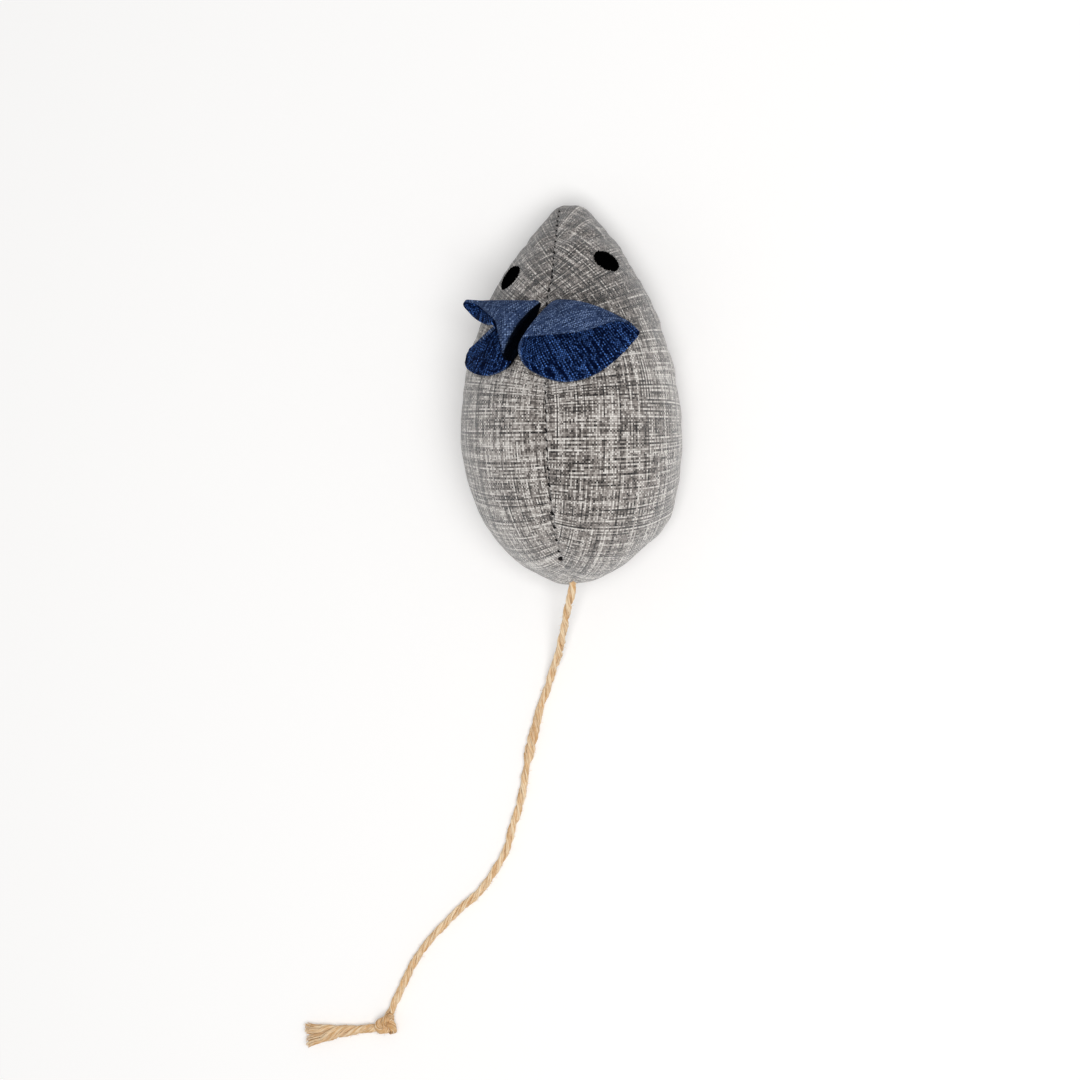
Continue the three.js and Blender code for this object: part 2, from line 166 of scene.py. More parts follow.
def mesh_from(form, name):
    """A mesh from a finished bmesh."""
    mesh = bpy.data.meshes.new(name)
    form.to_mesh(mesh)
    form.free()
    return mesh


def join(name, *pieces):
    """One piece made of several."""
    form = bmesh.new()
    for piece in pieces:
        form.from_mesh(piece.data)
    mesh = mesh_from(form, name)
    materials = list(pieces[0].data.materials)
    for piece in pieces:
        bpy.data.objects.remove(piece)
    return put_in_scene(name, mesh, *materials)


def gather(items, field, width, kind=float):
    """One property of many items, as a row for each."""
    flat = np.empty(len(items) * width, kind)
    items.foreach_get(field, flat)
    return flat.reshape(-1, width)


def coordinates(mesh):
    return gather(mesh.vertices, "co", 3)


def set_coordinates(mesh, points):
    mesh.vertices.foreach_set("co", np.asarray(points, float).ravel())
    mesh.update()


def vertex_normals(mesh):
    return gather(mesh.vertex_normals, "vector", 3)


def set_attribute(mesh, name, values):
    """Gives a mesh's points a named number or vector each."""
    kind, field = ("FLOAT_VECTOR", "vector") if np.ndim(values) == 2 else ("FLOAT", "value")
    attribute = mesh.attributes.new(name, kind, "POINT")
    attribute.data.foreach_set(field, np.ascontiguousarray(values, np.float32).ravel())


def run_length(path):
    """The distance along a path at each of its points."""
    return np.concatenate([[0], np.cumsum(np.linalg.norm(np.diff(path, axis=0), axis=1))])


CURVE_STEPS = 24  # between two given points


def smooth_path(points, count, closed=False):
    """Points evenly spaced along a Catmull-Rom curve through the given ones."""
    points = np.asarray(points, float)
    if closed:
        before, after = points[-1], points[:2]
    else:
        before, after = 2 * points[0] - points[1], [2 * points[-1] - points[-2]]
    padded = np.vstack([before, points, after])
    share = np.linspace(0, 1, CURVE_STEPS, endpoint=False)[:, None]
    dense = []
    for a, b, c, d in zip(padded, padded[1:], padded[2:], padded[3:]):
        dense.append(0.5 * (2 * b + (c - a) * share + (2 * a - 5 * b + 4 * c - d) * share ** 2
                            + (3 * b - a - 3 * c + d) * share ** 3))
    dense = np.vstack(dense + [[points[0] if closed else points[-1]]])
    run = run_length(dense)
    wanted = np.linspace(0, run[-1], count, endpoint=not closed)
    return np.stack([np.interp(wanted, run, column) for column in dense.T], axis=1)


def new_material(name):
    """A new material with its node tree and its shader."""
    material = bpy.data.materials.new(name)
    material.use_nodes = True
    return material, material.node_tree, material.node_tree.nodes["Principled BSDF"]


# Camera, floor and light


def photograph_camera():
    lens = bpy.data.cameras.new("photograph_camera")
    lens.angle = math.radians(CAMERA_ANGLE)
    lens.clip_start = 0.01
    camera = put_in_scene("photograph_camera", lens)
    axes = Matrix((CAMERA_RIGHT, CAMERA_UP, CAMERA_BACK)).transposed().to_4x4()
    camera.matrix_world = Matrix.Translation(Vector(CAMERA_PLACE) * MM) @ axes
    bpy.context.scene.camera = camera


FLOOR_SPAN = 8000
FLOOR_DROP = 0.1  # keeps the floor clear of what rests on it
FLOOR_LIFT = 0.1  # strength that the camera sees on top of the lit floor, so that it reads as white paper


def seen_directly(tree):
    """1 where the camera, a reflection or a look through glass meets it, and 0 for the light it bounces."""
    node, calc, _ = adders(tree)
    rays = node("ShaderNodeLightPath").outputs
    seen = calc("MAXIMUM", rays["Is Camera Ray"], rays["Is Glossy Ray"])
    return calc("MAXIMUM", seen, rays["Is Transmission Ray"])


def paper_floor():
    # White paper: matt, with the object's soft shadow on it
    paper, tree, shader = new_material("white_paper_floor")
    _, calc, _ = adders(tree)
    fill(tree, shader, {"Base Color": linear("#f7f6f5"), "Roughness": 1, "Specular IOR Level": 0,
                        "Emission Color": WHITE,
                        "Emission Strength": calc("MULTIPLY", seen_directly(tree), FLOOR_LIFT)})
    half = FLOOR_SPAN / 2
    corners = [(x, y, -FLOOR_DROP) for x, y in ((-half, -half), (half, -half), (half, half), (-half, half))]
    put_in_scene("floor", mesh_of("floor", corners, [(0, 1, 2, 3)]), paper)


SKY_LEVEL = 0.38
KEY_LEVEL = 0.7
KEY_PLACE = Vector((0.3, -0.15, 1.0))  # this and the size are in metres
KEY_SIZE = 0.6


def studio_light():
    world = bpy.data.worlds.new("studio")
    bpy.context.scene.world = world
    world.use_nodes = True
    tree = world.node_tree
    _, calc, _ = adders(tree)
    brighter = calc("MULTIPLY_ADD", seen_directly(tree), 1 - SKY_LEVEL, SKY_LEVEL)
    fill(tree, tree.nodes["Background"], {"Color": WHITE, "Strength": brighter})
    lamp = bpy.data.lights.new("soft_box", "AREA")
    lamp.shape = "SQUARE"
    lamp.size = KEY_SIZE
    # An area lamp lights what faces it with energy / (pi d^2), and a level of 1 is pi.
    lamp.energy = KEY_LEVEL * math.pi ** 2 * KEY_PLACE.length_squared
    facing = KEY_PLACE.to_track_quat("Z", "Y").to_matrix().to_4x4()
    put_in_scene("soft_box", lamp).matrix_world = Matrix.Translation(KEY_PLACE) @ facing


photograph_camera()
paper_floor()
studio_light()
bpy.context.scene.view_settings.view_transform = "Standard"

# Materials

# Yarns, in millimetres and shares of the tone: pitch of warp and weft, length of a slub, and how much the
# tone differs along a thread, in the few lightest and darkest threads, in every other one and by crossing
GREY_YARN = {"pitch": (0.36, 0.38), "slub": 12, "along": 0.65, "few": 0.42, "every_other": 0.09, "speck": 0.4}
BLUE_YARN = {"pitch": (0.32, 0.32), "slub": 4, "along": 0.5, "few": 0.15, "every_other": 0.09, "speck": 0.5}
INSIDE_YARN = {**BLUE_YARN, "along": 0.42, "speck": 0.34}
THREAD_WANDER = 1.2  # how far threads stray from an even spacing, in pitches
WANDER_ACROSS, WANDER_ALONG = 0.35, 0.015  # how soon the straying changes from thread to thread and along one
WARP_LEVEL, WEFT_LEVEL = 0.6, 0.44  # mean tones
THREADS_APART = 13.71  # in the noise of the slubs, so that neighbours have nothing in common
WARP_SHIFT, WEFT_SHIFT = 3.1, 57.7


def weave(tree, yarn):
    """Plain weave on the cloth map, which is in millimetres. Gives each thread's tone along its length, which
    thread lies on top, and the height of the thread's round back."""
    node, calc, vector = adders(tree)
    pitch = yarn["pitch"]
    cloth = node("ShaderNodeUVMap", uv_map="cloth")
    even = vector("MULTIPLY", cloth, (1 / pitch[0], 1 / pitch[1], 0))
    strays = []
    for stretch in ((WANDER_ACROSS, WANDER_ALONG, 0), (WANDER_ALONG, WANDER_ACROSS, 0)):
        drawn = vector("MULTIPLY", even, stretch)
        strays.append(node("ShaderNodeTexNoise", {"Vector": drawn, "Scale": 1, "Detail": 1}).outputs["Fac"])
    stray = node("ShaderNodeCombineXYZ", {"X": strays[0], "Y": strays[1]})
    scaled = vector("MULTIPLY_ADD", stray, (THREAD_WANDER, THREAD_WANDER, 0), even)
    crossing = vector("FLOOR", scaled)
    number, within, place = (node("ShaderNodeSeparateXYZ", {0: source}).outputs
                             for source in (crossing, vector("FRACTION", scaled), cloth))
    speck = node("ShaderNodeTexWhiteNoise", {"Vector": crossing}, noise_dimensions="2D").outputs["Value"]
    on_top = calc("FLOORED_MODULO", calc("ADD", number["X"], number["Y"]), 2)
    tones, backs = [], []
    for own, other, shift, level in (("X", "Y", WARP_SHIFT, WARP_LEVEL), ("Y", "X", WEFT_SHIFT, WEFT_LEVEL)):
        apart = calc("MULTIPLY_ADD", number[own], THREADS_APART, shift)
        along = calc("MULTIPLY", place[other], 1 / yarn["slub"])
        spot = node("ShaderNodeCombineXYZ", {"X": apart, "Y": along})
        slubs = node("ShaderNodeTexNoise", {"Vector": spot, "Scale": 1, "Detail": 3, "Roughness": 0.65})
        darkest = level - yarn["along"] - yarn["every_other"] - yarn["speck"] / 2
        tone = node("ShaderNodeMapRange", {"Value": slubs.outputs["Fac"], "From Min": 0.25, "From Max": 0.75,
                                           "To Min": darkest, "To Max": darkest + 2 * yarn["along"]})
        every_other = calc("FLOORED_MODULO", number[own], 2)
        tone = calc("MULTIPLY_ADD", every_other, 2 * yarn["every_other"], tone)
        own_dye = node("ShaderNodeTexWhiteNoise", {"W": apart}, noise_dimensions="1D").outputs["Value"]
        rare = calc("POWER", calc("MULTIPLY_ADD", own_dye, 2, -1), 3)
        tone = calc("MULTIPLY_ADD", rare, yarn["few"], tone)
        tones.append(calc("MULTIPLY_ADD", speck, yarn["speck"], tone))
        middle = calc("SUBTRACT", within[own], 0.5)
        backs.append(calc("COSINE", calc("MULTIPLY", middle, math.pi)))
    heights = [calc("MULTIPLY", own, calc("MULTIPLY_ADD", other, 0.5, 0.5))
               for own, other in (backs, backs[::-1])]
    return tones, on_top, node("ShaderNodeMix", {0: on_top, 2: heights[0], 3: heights[1]})


def colour_ramp(tree, tone, stops):
    """A ramp through sRGB colours at the given tones."""
    ramp = add_node(tree, "ShaderNodeValToRGB", {0: tone})
    elements = ramp.color_ramp.elements
    while len(elements) < len(stops):
        elements.new(1)
    for element, (position, code) in zip(elements, stops):
        element.position = position
        element.color = linear(code)
    return ramp


def shade(tree, colour, share):
    """A colour darkened to a share of itself."""
    return add_node(tree, "ShaderNodeMix", {0: 1.0, 6: colour, 7: share}, data_type="RGBA",
                    blend_type="MULTIPLY").outputs[2]


def relief(tree, height, strength, depth):
    """Bumps from a height, with their depth in millimetres."""
    return add_node(tree, "ShaderNodeBump", {"Strength": strength, "Distance": depth * MM, "Height": height})


def grain(tree, size, detail):
    """Uneven grain of a size in millimetres."""
    place = add_node(tree, "ShaderNodeTexCoord").outputs["Object"]
    inputs = {"Vector": place, "Scale": 1 / (size * MM), "Detail": detail}
    return add_node(tree, "ShaderNodeTexNoise", inputs).outputs["Fac"]


GAP_SHADE = 0.45  # painted shade: share of the colour that is left in the gaps between threads
GAP_HEIGHT = 0.7  # height on a thread at which the painted shade ends


def cloth_finish(tree, shader, colour, height, depth, shine, bloom):
    """Fills in a matt cloth shader: thread relief, shade painted into the gaps between threads, a little shine
    and a faint bloom of loose fibre.
    """
    # Painted shade: the low gaps between threads are darkened
    gap = add_node(tree, "ShaderNodeMapRange", {"Value": height, "From Min": 0.0, "From Max": GAP_HEIGHT,
                                                "To Min": GAP_SHADE, "To Max": 1.0})
    fill(tree, shader, {"Base Color": shade(tree, colour, gap),
                        "Normal": relief(tree, height, strength=0.7, depth=depth), "Roughness": 0.95,
                        "Specular IOR Level": shine, "Sheen Weight": bloom, "Sheen Roughness": 0.5})


GREY_SHOW_THROUGH = 0.3  # share of the tone that comes from the thread underneath
BLUE_SHOW_THROUGH = 0.12
BLUE_SHINE = 0.04
WEFT_RANGE = 0.5  # tones between the darkest and the palest of the blue cloth's weft


def grey_melange():
    # Cotton-linen melange, plain woven from slubbed yarn: light and dark dashes along both thread directions.
    material, tree, shader = new_material("woven_grey_melange_cloth")
    node, calc, _ = adders(tree)
    tones, on_top, height = weave(tree, GREY_YARN)
    seen = node("ShaderNodeMapRange", {"Value": on_top, "To Min": GREY_SHOW_THROUGH,
                                       "To Max": 1 - GREY_SHOW_THROUGH})
    woven = node("ShaderNodeMix", {0: seen, 2: tones[0], 3: tones[1]})
    # Painted shade: a point attribute darkens the cloth towards the nose
    darker = node("ShaderNodeAttribute", attribute_name="darker")
    ramp = colour_ramp(tree, calc("SUBTRACT", woven, darker.outputs["Fac"]),
                       [(0.14, "#1a1716"), (0.36, "#68615c"), (0.57, "#a9a19b"), (0.84, "#f0ebe5")])
    cloth_finish(tree, shader, ramp, height, depth=0.14, shine=0.15, bloom=0.8)
    return material


def blue_chambray(name, yarn, warp, weft, palest, fold_shade):
    # Cotton chambray, plain woven with a navy warp and a paler weft, so that it sparkles in small dashes.
    # Where it is drawn deep into a fold, shade is painted in: a share of its colour and of its shine, the fold
    # shade, is taken away there.
    material, tree, shader = new_material(name)
    node, calc, _ = adders(tree)
    tones, on_top, height = weave(tree, yarn)
    dark = colour_ramp(tree, tones[0], [(0.25, warp[0]), (0.85, warp[1])])
    light = colour_ramp(tree, tones[1], [(palest - WEFT_RANGE, weft[0]), (palest, weft[1])])
    seen = node("ShaderNodeMapRange", {"Value": on_top, "To Min": BLUE_SHOW_THROUGH, "To Max": 1.0})
    colour = node("ShaderNodeMix", {0: seen, 6: dark, 7: light}, data_type="RGBA").outputs[2]
    # Painted shade deep in a fold: a point attribute cuts the colour and the shine
    tuck = node("ShaderNodeAttribute", attribute_name="tuck")
    kept = calc("MULTIPLY_ADD", tuck.outputs["Fac"], -fold_shade, 1.0)
    cloth_finish(tree, shader, shade(tree, colour, kept), height, depth=0.16,
                 shine=calc("MULTIPLY", kept, BLUE_SHINE), bloom=0.0)
    return material


FLECK_SHARE, STRAND_SHARE = 0.6, 0.5  # of jute's tone: flecks along a strand, and from strand to strand


def jute_fibre():
    # Retted jute: dull golden fibre in flat strands, each a little lighter or browner than the next.
    material, tree, shader = new_material("spun_jute_fibre")
    node, calc, _ = adders(tree)
    strand = node("ShaderNodeAttribute", attribute_name="tone")
    tone = calc("MULTIPLY_ADD", grain(tree, size=1.6, detail=4), FLECK_SHARE,
                calc("MULTIPLY", strand.outputs["Fac"], STRAND_SHARE))
    ramp = colour_ramp(tree, tone, [(0.25, "#a87543"), (0.5, "#cea26c"), (0.7, "#dfbb8f"), (0.95, "#efd8b6")])
    fine = grain(tree, size=0.25, detail=2)
    fill(tree, shader, {"Base Color": ramp, "Normal": relief(tree, fine, strength=0.4, depth=0.1),
                        "Roughness": 0.8, "Specular IOR Level": 0.3, "Sheen Weight": 0.1})
    return material


def spun_thread(name, dark, pale, roughness, shine):
    # Twisted thread: fine turns across it and a little unevenness in its dye.
    material, tree, shader = new_material(name)
    uneven = grain(tree, size=0.5, detail=3)
    fill(tree, shader, {"Base Color": colour_ramp(tree, uneven, [(0.35, dark), (0.7, pale)]),
                        "Normal": relief(tree, uneven, strength=0.4, depth=0.08), "Roughness": roughness,
                        "Specular IOR Level": shine})
    return material


def loose_fill(name, dark, pale, clump):
    # Loose fill inside the body, clumped, seen only if the mouse is opened.
    material, tree, shader = new_material(name)
    clumps = grain(tree, clump, detail=6)
    fill(tree, shader, {"Base Color": colour_ramp(tree, clumps, [(0.3, dark), (0.7, pale)]),
                        "Normal": relief(tree, clumps, strength=0.6, depth=clump * 0.2), "Roughness": 1})
    return material


GREY_CLOTH = grey_melange()
# The outside is painted nearly black deep in its fold; the inside gets no painted fold shade.
BLUE_OUTSIDE = blue_chambray("woven_blue_chambray_outside", BLUE_YARN, ("#0c1832", "#3f5077"),
                             ("#34486e", "#8098c4"), palest=0.8, fold_shade=0.97)
# The inside is a darker copy of the cloth: partly its darker face, partly painted shade for the inside of the
# cup.
BLUE_INSIDE = blue_chambray("woven_blue_chambray_inside", INSIDE_YARN, ("#000416", "#061a44"),
                            ("#000a28", "#5c8ce2"), palest=0.86, fold_shade=0.0)
JUTE = jute_fibre()
BLACK_FLOSS = spun_thread("black_embroidery_floss", "#010101", "#030303", roughness=0.6, shine=0.0)
SEAM_THREAD = spun_thread("dark_sewing_thread", "#0a090a", "#1a181a", roughness=0.75, shine=0.1)

# Geometry Nodes: thread, stitches and laid jute


def new_tree(name, lengths, counts):
    """A node tree that takes and gives geometry, with named inputs for its lengths, counts and material."""
    tree = bpy.data.node_groups.new(name, "GeometryNodeTree")
    kinds = {"Geometry": "Geometry", **dict.fromkeys(lengths, "Float"), **dict.fromkeys(counts, "Int"),
             "Material": "Material"}
    for label, kind in kinds.items():
        tree.interface.new_socket(label, in_out="INPUT", socket_type="NodeSocket" + kind)
    tree.interface.new_socket("Geometry", in_out="OUTPUT", socket_type="NodeSocketGeometry")
    return tree, add_node(tree, "NodeGroupInput").outputs


def end_tree(tree, geometry, material):
    """Ends a tree in plain, smooth geometry with its material."""
    plain = add_node(tree, "GeometryNodeRealizeInstances", {0: geometry})
    smooth = add_node(tree, "GeometryNodeSetShadeSmooth", {0: plain})
    painted = add_node(tree, "GeometryNodeSetMaterial", {0: smooth, "Material": material})
    add_node(tree, "NodeGroupOutput", {0: painted})
    return tree


def grow(name, mesh, tree, **sizes):
    """The plain piece that a node tree grows from a base mesh. Sizes are named as the tree's inputs."""
    piece = put_in_scene(name, mesh)
    modifier = piece.modifiers.new(tree.name, "NODES")
    modifier.node_group = tree
    for item in tree.interface.items_tree:
        key = item.name.lower().replace(" ", "_")
        if item.in_out == "INPUT" and key in sizes:
            modifier[item.identifier] = sizes[key]
    settle(piece)
    piece.data.materials.clear()
    piece.data.materials.append(sizes["material"])
    piece.data.polygons.foreach_set("material_index", np.zeros(len(piece.data.polygons), np.int32))
    return piece


def turned_about(node, rotation, angle):
    """A rotation with a further turn about its own upright axis."""
    turn = node("FunctionNodeEulerToRotation", {0: node("ShaderNodeCombineXYZ", {"Z": angle})})
    return node("FunctionNodeRotateRotation", {0: rotation, 1: turn}, rotation_space="LOCAL")


def tube(node, curve, sides, radius, **scale):
    """A closed tube along a curve."""
    profile = node("GeometryNodeCurvePrimitiveCircle", {"Resolution": sides, "Radius": radius})
    return node("GeometryNodeCurveToMesh",
                {"Curve": curve, "Profile Curve": profile, "Fill Caps": True, **scale})


def thread_tree():
    """Round thread along every chain of edges. The point attribute thickness scales its radius."""
    tree, given = new_tree("laid_thread", ["Radius"], ["Sides"])
    node, _, _ = adders(tree)
    curve = node("GeometryNodeMeshToCurve", {0: given["Geometry"]})
    thickness = node("GeometryNodeInputNamedAttribute", {"Name": "thickness"}, data_type="FLOAT")
    thread = tube(node, curve, given["Sides"], given["Radius"], Scale=thickness)
    return end_tree(tree, thread, given["Material"])


# Shares of a row's lean and of a stitch's size, from least to most
LEAN_RANGE = 0.5, 1.5
STITCH_RANGE = 0.75, 1.2


def stitch_tree():
    """A row of stitches along a path. The point attribute up points out of the cloth."""
    tree, given = new_tree("sewn_stitches", ["Spacing", "Length", "Thickness", "Sink", "Lean"], ["Seed"])
    node, calc, _ = adders(tree)
    curve = node("GeometryNodeMeshToCurve", {0: given["Geometry"]})
    points = node("GeometryNodeCurveToPoints", {"Curve": curve, "Length": given["Spacing"]}, mode="LENGTH")
    up = node("GeometryNodeInputNamedAttribute", {"Name": "up"}, data_type="FLOAT_VECTOR")
    level = node("FunctionNodeAxesToRotation", {0: up, 1: points.outputs["Tangent"]},
                 primary_axis="Z", secondary_axis="X")
    least, most = (calc("MULTIPLY", given["Lean"], share) for share in LEAN_RANGE)
    lean = node("FunctionNodeRandomValue", {2: least, 3: most, "Seed": given["Seed"]}).outputs[1]
    down = calc("MULTIPLY", given["Sink"], -1.0)
    start, end = (node("ShaderNodeCombineXYZ", {"X": calc("MULTIPLY", given["Length"], share), "Z": down})
                  for share in (-0.5, 0.5))
    middle = node("ShaderNodeCombineXYZ", {"Z": given["Sink"]})
    arc = node("GeometryNodeCurveQuadraticBezier",
               {"Resolution": 7, "Start": start, "Middle": middle, "End": end})
    stitch = tube(node, arc, sides=6, radius=calc("MULTIPLY", given["Thickness"], 0.5))
    sizes = {2: STITCH_RANGE[0], 3: STITCH_RANGE[1], "Seed": calc("ADD", given["Seed"], 1)}
    size = node("FunctionNodeRandomValue", sizes).outputs[1]
    row = node("GeometryNodeInstanceOnPoints", {"Points": points, "Instance": stitch, "Scale": size,
                                                "Rotation": turned_about(node, level, lean)})
    return end_tree(tree, row, given["Material"])


PLY_PRESS = 0.8  # plies press each other flat where they meet and swell sideways
PLY_SWELL = 1.3
WAVER_LENGTH = 3  # strands waver over this length, each by its own noise
STRANDS_APART = 7.3
STRAND_LEAST, STRAND_RANGE = 0.7, 0.6  # thickness of strands
HAIR_TURN = 0.6
HAIR_SIZES = 0.3, 1.0


def jute_tree():
    """Jute laid up along a route: strands wind into plies and plies into twine, with stray hairs.
    Point attributes of the route: turn, the plies' angle; orbit, their distance from the middle; spread, the
    radius of a ply; flat, the share of its height that is kept; thickness, of the strands."""
    tree, given = new_tree("laid_jute", ["Strand Radius", "Twist", "Waver", "Hair Density", "Hair Length",
                                         "Hair Radius", "Fray", "Paleness"], ["Plies", "Strands", "Seed"])
    node, calc, vector = adders(tree)
    along = {name: node("GeometryNodeInputNamedAttribute", {"Name": name}, data_type="FLOAT")
             for name in ("turn", "orbit", "spread", "flat", "thickness")}
    curve = node("GeometryNodeMeshToCurve", {0: given["Geometry"]})
    level = node("GeometryNodeSetCurveNormal", {0: curve}, mode="Z_UP")
    amount = calc("MULTIPLY", given["Plies"], given["Strands"])
    copies = node("GeometryNodeDuplicateElements", {0: level, "Amount": amount}, domain="SPLINE")
    number = copies.outputs["Duplicate Index"]
    chances = []
    for step in range(5):
        chance = {2: 0.0, 3: 1.0, "ID": number, "Seed": calc("ADD", given["Seed"], step)}
        chances.append(node("FunctionNodeRandomValue", chance).outputs[1])
    angle_chance, reach_chance, tone_chance, thickness_chance, fray_chance = chances
    # Each strand's place in its ply, and the ply's place in the twine
    share = calc("DIVIDE", calc("FLOORED_MODULO", number, given["Plies"]), given["Plies"])
    ply_angle = calc("MULTIPLY_ADD", share, FULL_TURN, along["turn"])
    wound = calc("MULTIPLY", along["turn"], given["Twist"])
    own_angle = calc("MULTIPLY_ADD", angle_chance, FULL_TURN, wound)
    own_reach = calc("MULTIPLY", calc("SQRT", reach_chance), along["spread"])
    radial, round_it, outward, sidelong = (calc(operation, angle) for angle in (own_angle, ply_angle)
                                           for operation in ("COSINE", "SINE"))
    reach_out = calc("MULTIPLY_ADD", radial, calc("MULTIPLY", own_reach, PLY_PRESS), along["orbit"])
    reach_round = calc("MULTIPLY", round_it, calc("MULTIPLY", own_reach, PLY_SWELL))
    across = calc("SUBTRACT", calc("MULTIPLY", outward, reach_out), calc("MULTIPLY", sidelong, reach_round))
    rise = calc("ADD", calc("MULTIPLY", sidelong, reach_out), calc("MULTIPLY", outward, reach_round))
    rise = calc("MULTIPLY", rise, along["flat"])
    side = node("GeometryNodeInputNormal")
    over = vector("CROSS_PRODUCT", side, node("GeometryNodeInputTangent"))
    moved = vector("ADD", node("GeometryNodeInputPosition"), calc("MULTIPLY", number, STRANDS_APART * MM))
    wander = node("ShaderNodeTexNoise", {"Vector": moved, "Scale": 1 / (WAVER_LENGTH * MM), "Detail": 2})
    centred = vector("SUBTRACT", wander.outputs["Color"], (0.5, 0.5, 0.5))
    sideways, upwards, wavering = (
        node("ShaderNodeVectorMath", {0: way, "Scale": length}, operation="SCALE")
        for way, length in ((side, across), (over, rise), (centred, given["Waver"])))
    offset = vector("ADD", vector("ADD", sideways, upwards), wavering)
    laid = node("GeometryNodeSetPosition", {0: copies, "Offset": offset})
    tone = calc("ADD", tone_chance, given["Paleness"])
    toned = node("GeometryNodeStoreNamedAttribute", {0: laid, "Name": "tone", "Value": tone},
                 data_type="FLOAT", domain="POINT")
    kept = calc("SUBTRACT", 1.0, calc("MULTIPLY", fray_chance, given["Fray"]))
    ragged = node("GeometryNodeTrimCurve", {"Curve": toned, "End": kept.outputs[0]}, mode="FACTOR")
    uneven = calc("MULTIPLY_ADD", thickness_chance, STRAND_RANGE, STRAND_LEAST)
    strands = tube(node, ragged, sides=5, radius=given["Strand Radius"],
                   Scale=calc("MULTIPLY", uneven, along["thickness"]))
    # Hairs that bend away from the strands
    roots = node("GeometryNodeDistributePointsOnFaces",
                 {0: strands, "Density": given["Hair Density"], "Seed": given["Seed"]})
    reach = node("ShaderNodeCombineXYZ", {"X": given["Hair Length"], "Z": given["Hair Length"]})
    bend = node("ShaderNodeCombineXYZ", {"X": given["Hair Length"]})
    arc = node("GeometryNodeCurveQuadraticBezier",
               {"Resolution": 5, "Start": (0, 0, 0), "Middle": bend, "End": reach})
    hair = tube(node, arc, sides=3, radius=given["Hair Radius"])
    spin, size = (node("FunctionNodeRandomValue", {2: least, 3: most, "Seed": given["Seed"]}).outputs[1]
                  for least, most in ((-HAIR_TURN, HAIR_TURN), HAIR_SIZES))
    standing = turned_about(node, roots.outputs["Rotation"], spin)
    hairs = node("GeometryNodeInstanceOnPoints",
                 {"Points": roots, "Instance": hair, "Rotation": standing, "Scale": size})
    joined = node("GeometryNodeJoinGeometry")
    for part in (strands, hairs):
        tree.links.new(part.outputs[0], joined.inputs[0])
    return end_tree(tree, joined, given["Material"])


THREAD_TREE = thread_tree()
STITCH_TREE = stitch_tree()
JUTE_TREE = jute_tree()


def path_mesh(name, path, closed=False, **attributes):
    """A chain of edges along a path in millimetres, with point attributes."""
    count = len(path)
    edges = [(i, (i + 1) % count) for i in range(count if closed else count - 1)]
    mesh = mesh_of(name, path, edges=edges)
    for label, values in attributes.items():
        set_attribute(mesh, label, np.broadcast_to(values, (count,) + np.shape(values)[1:]))
    return mesh


# Tail

TWINE_LAY = 9.5  # one full turn of the plies
PLY_ORBIT = 0.4
PLY_RADIUS = 0.53
STRAND_RADIUS = 0.16
HAIR_LENGTH = 0.8
HAIR_RADIUS = 0.03
ROUTE_STEP = 0.4
FLOOR_CLEAR = 0.02
INTO_KNOT = (0.4, 1.0, 0)  # where the twine ends, from the middle of its knot
# Where the twine is loose or drawn tight: distance along it, reach and change of width
UNEVEN_TWINE = [(44, 5.0, 0.32), (47.6, 1.6, 0.3), (51, 2.2, -0.28), (14, 6.0, -0.1), (72, 8.0, -0.08)]
ROOT_STRETCH = 13  # length of the stretch that bends where the tail swings


def laid_jute(name, path, turn, strands, twist, waver, hairs, paleness, seed, orbit=PLY_ORBIT,
              spread=PLY_RADIUS, flat=1.0, thickness=1.0, fray=0.0):
    """Two-ply jute along a path. Hairs are counted per square millimetre. What would sink into the floor is
    pressed flat on it."""
    route = path_mesh(name, path, turn=turn, orbit=orbit * MM, spread=spread * MM, flat=flat,
                      thickness=thickness)
    piece = grow(name, route, JUTE_TREE, plies=2, strands=strands, strand_radius=STRAND_RADIUS * MM,
                 twist=twist, waver=waver * MM, hair_density=hairs / MM ** 2, hair_length=HAIR_LENGTH * MM,
                 hair_radius=HAIR_RADIUS * MM, fray=fray, paleness=paleness, seed=seed, material=JUTE)
    points = coordinates(piece.data)
    points[:, 2] = np.maximum(points[:, 2], FLOOR_CLEAR * MM)
    set_coordinates(piece.data, points)
    return piece


def tail_twine():
    """The twine in two pieces, since each can bend at one joint only, and the path of the longer one."""
    points = [(x, EXIT_Y + y, LAID_HEIGHT + share * (TAIL_HEIGHT - LAID_HEIGHT))
              for x, y, share in TAIL_ROUTE]
    points.append(tuple(np.add(KNOT_CENTRE, INTO_KNOT)))
    path = smooth_path(points, int(run_length(np.array(points))[-1] / ROUTE_STEP))
    along = run_length(path)
    width = 1 + sum(change * np.exp(-((along - spot) / reach) ** 2) for spot, reach, change in UNEVEN_TWINE)
    split = int(np.searchsorted(along, ROOT_STRETCH))
    pieces = []
    for name, part in (("tail_root_twine", slice(0, split + 1)), ("tail_twine", slice(split, None))):
        pieces.append(laid_jute(name, path[part], turn=FULL_TURN * along[part] / TWINE_LAY,
                                orbit=PLY_ORBIT * width[part], spread=PLY_RADIUS * width[part], strands=24,
                                twist=0.15, waver=0.25, hairs=0.12, paleness=0.5, seed=3))
    return *pieces, path[split:]


KNOT_TILT = 30
KNOT_HEIGHT = 1.1
KNOT_TWISTS = 3
KNOT_POINTS = 91


def knot_path(centre, size, heading, thread=TWINE):
    """A pulled-tight overhand knot, as a trefoil."""
    t = np.linspace(0, FULL_TURN, KNOT_POINTS)
    trefoil = np.stack([np.sin(t) + 2 * np.sin(2 * t), np.cos(t) - 2 * np.cos(2 * t),
                        -KNOT_HEIGHT * np.sin(3 * t)], axis=1)
    reach = (size - thread) / 6  # the trefoil is six wide
    turned = np.array(Matrix.Rotation(math.radians(heading), 3, "Z")
                      @ Matrix.Rotation(math.radians(KNOT_TILT), 3, "X"))
    return (trefoil * reach) @ turned.T + np.array(centre)


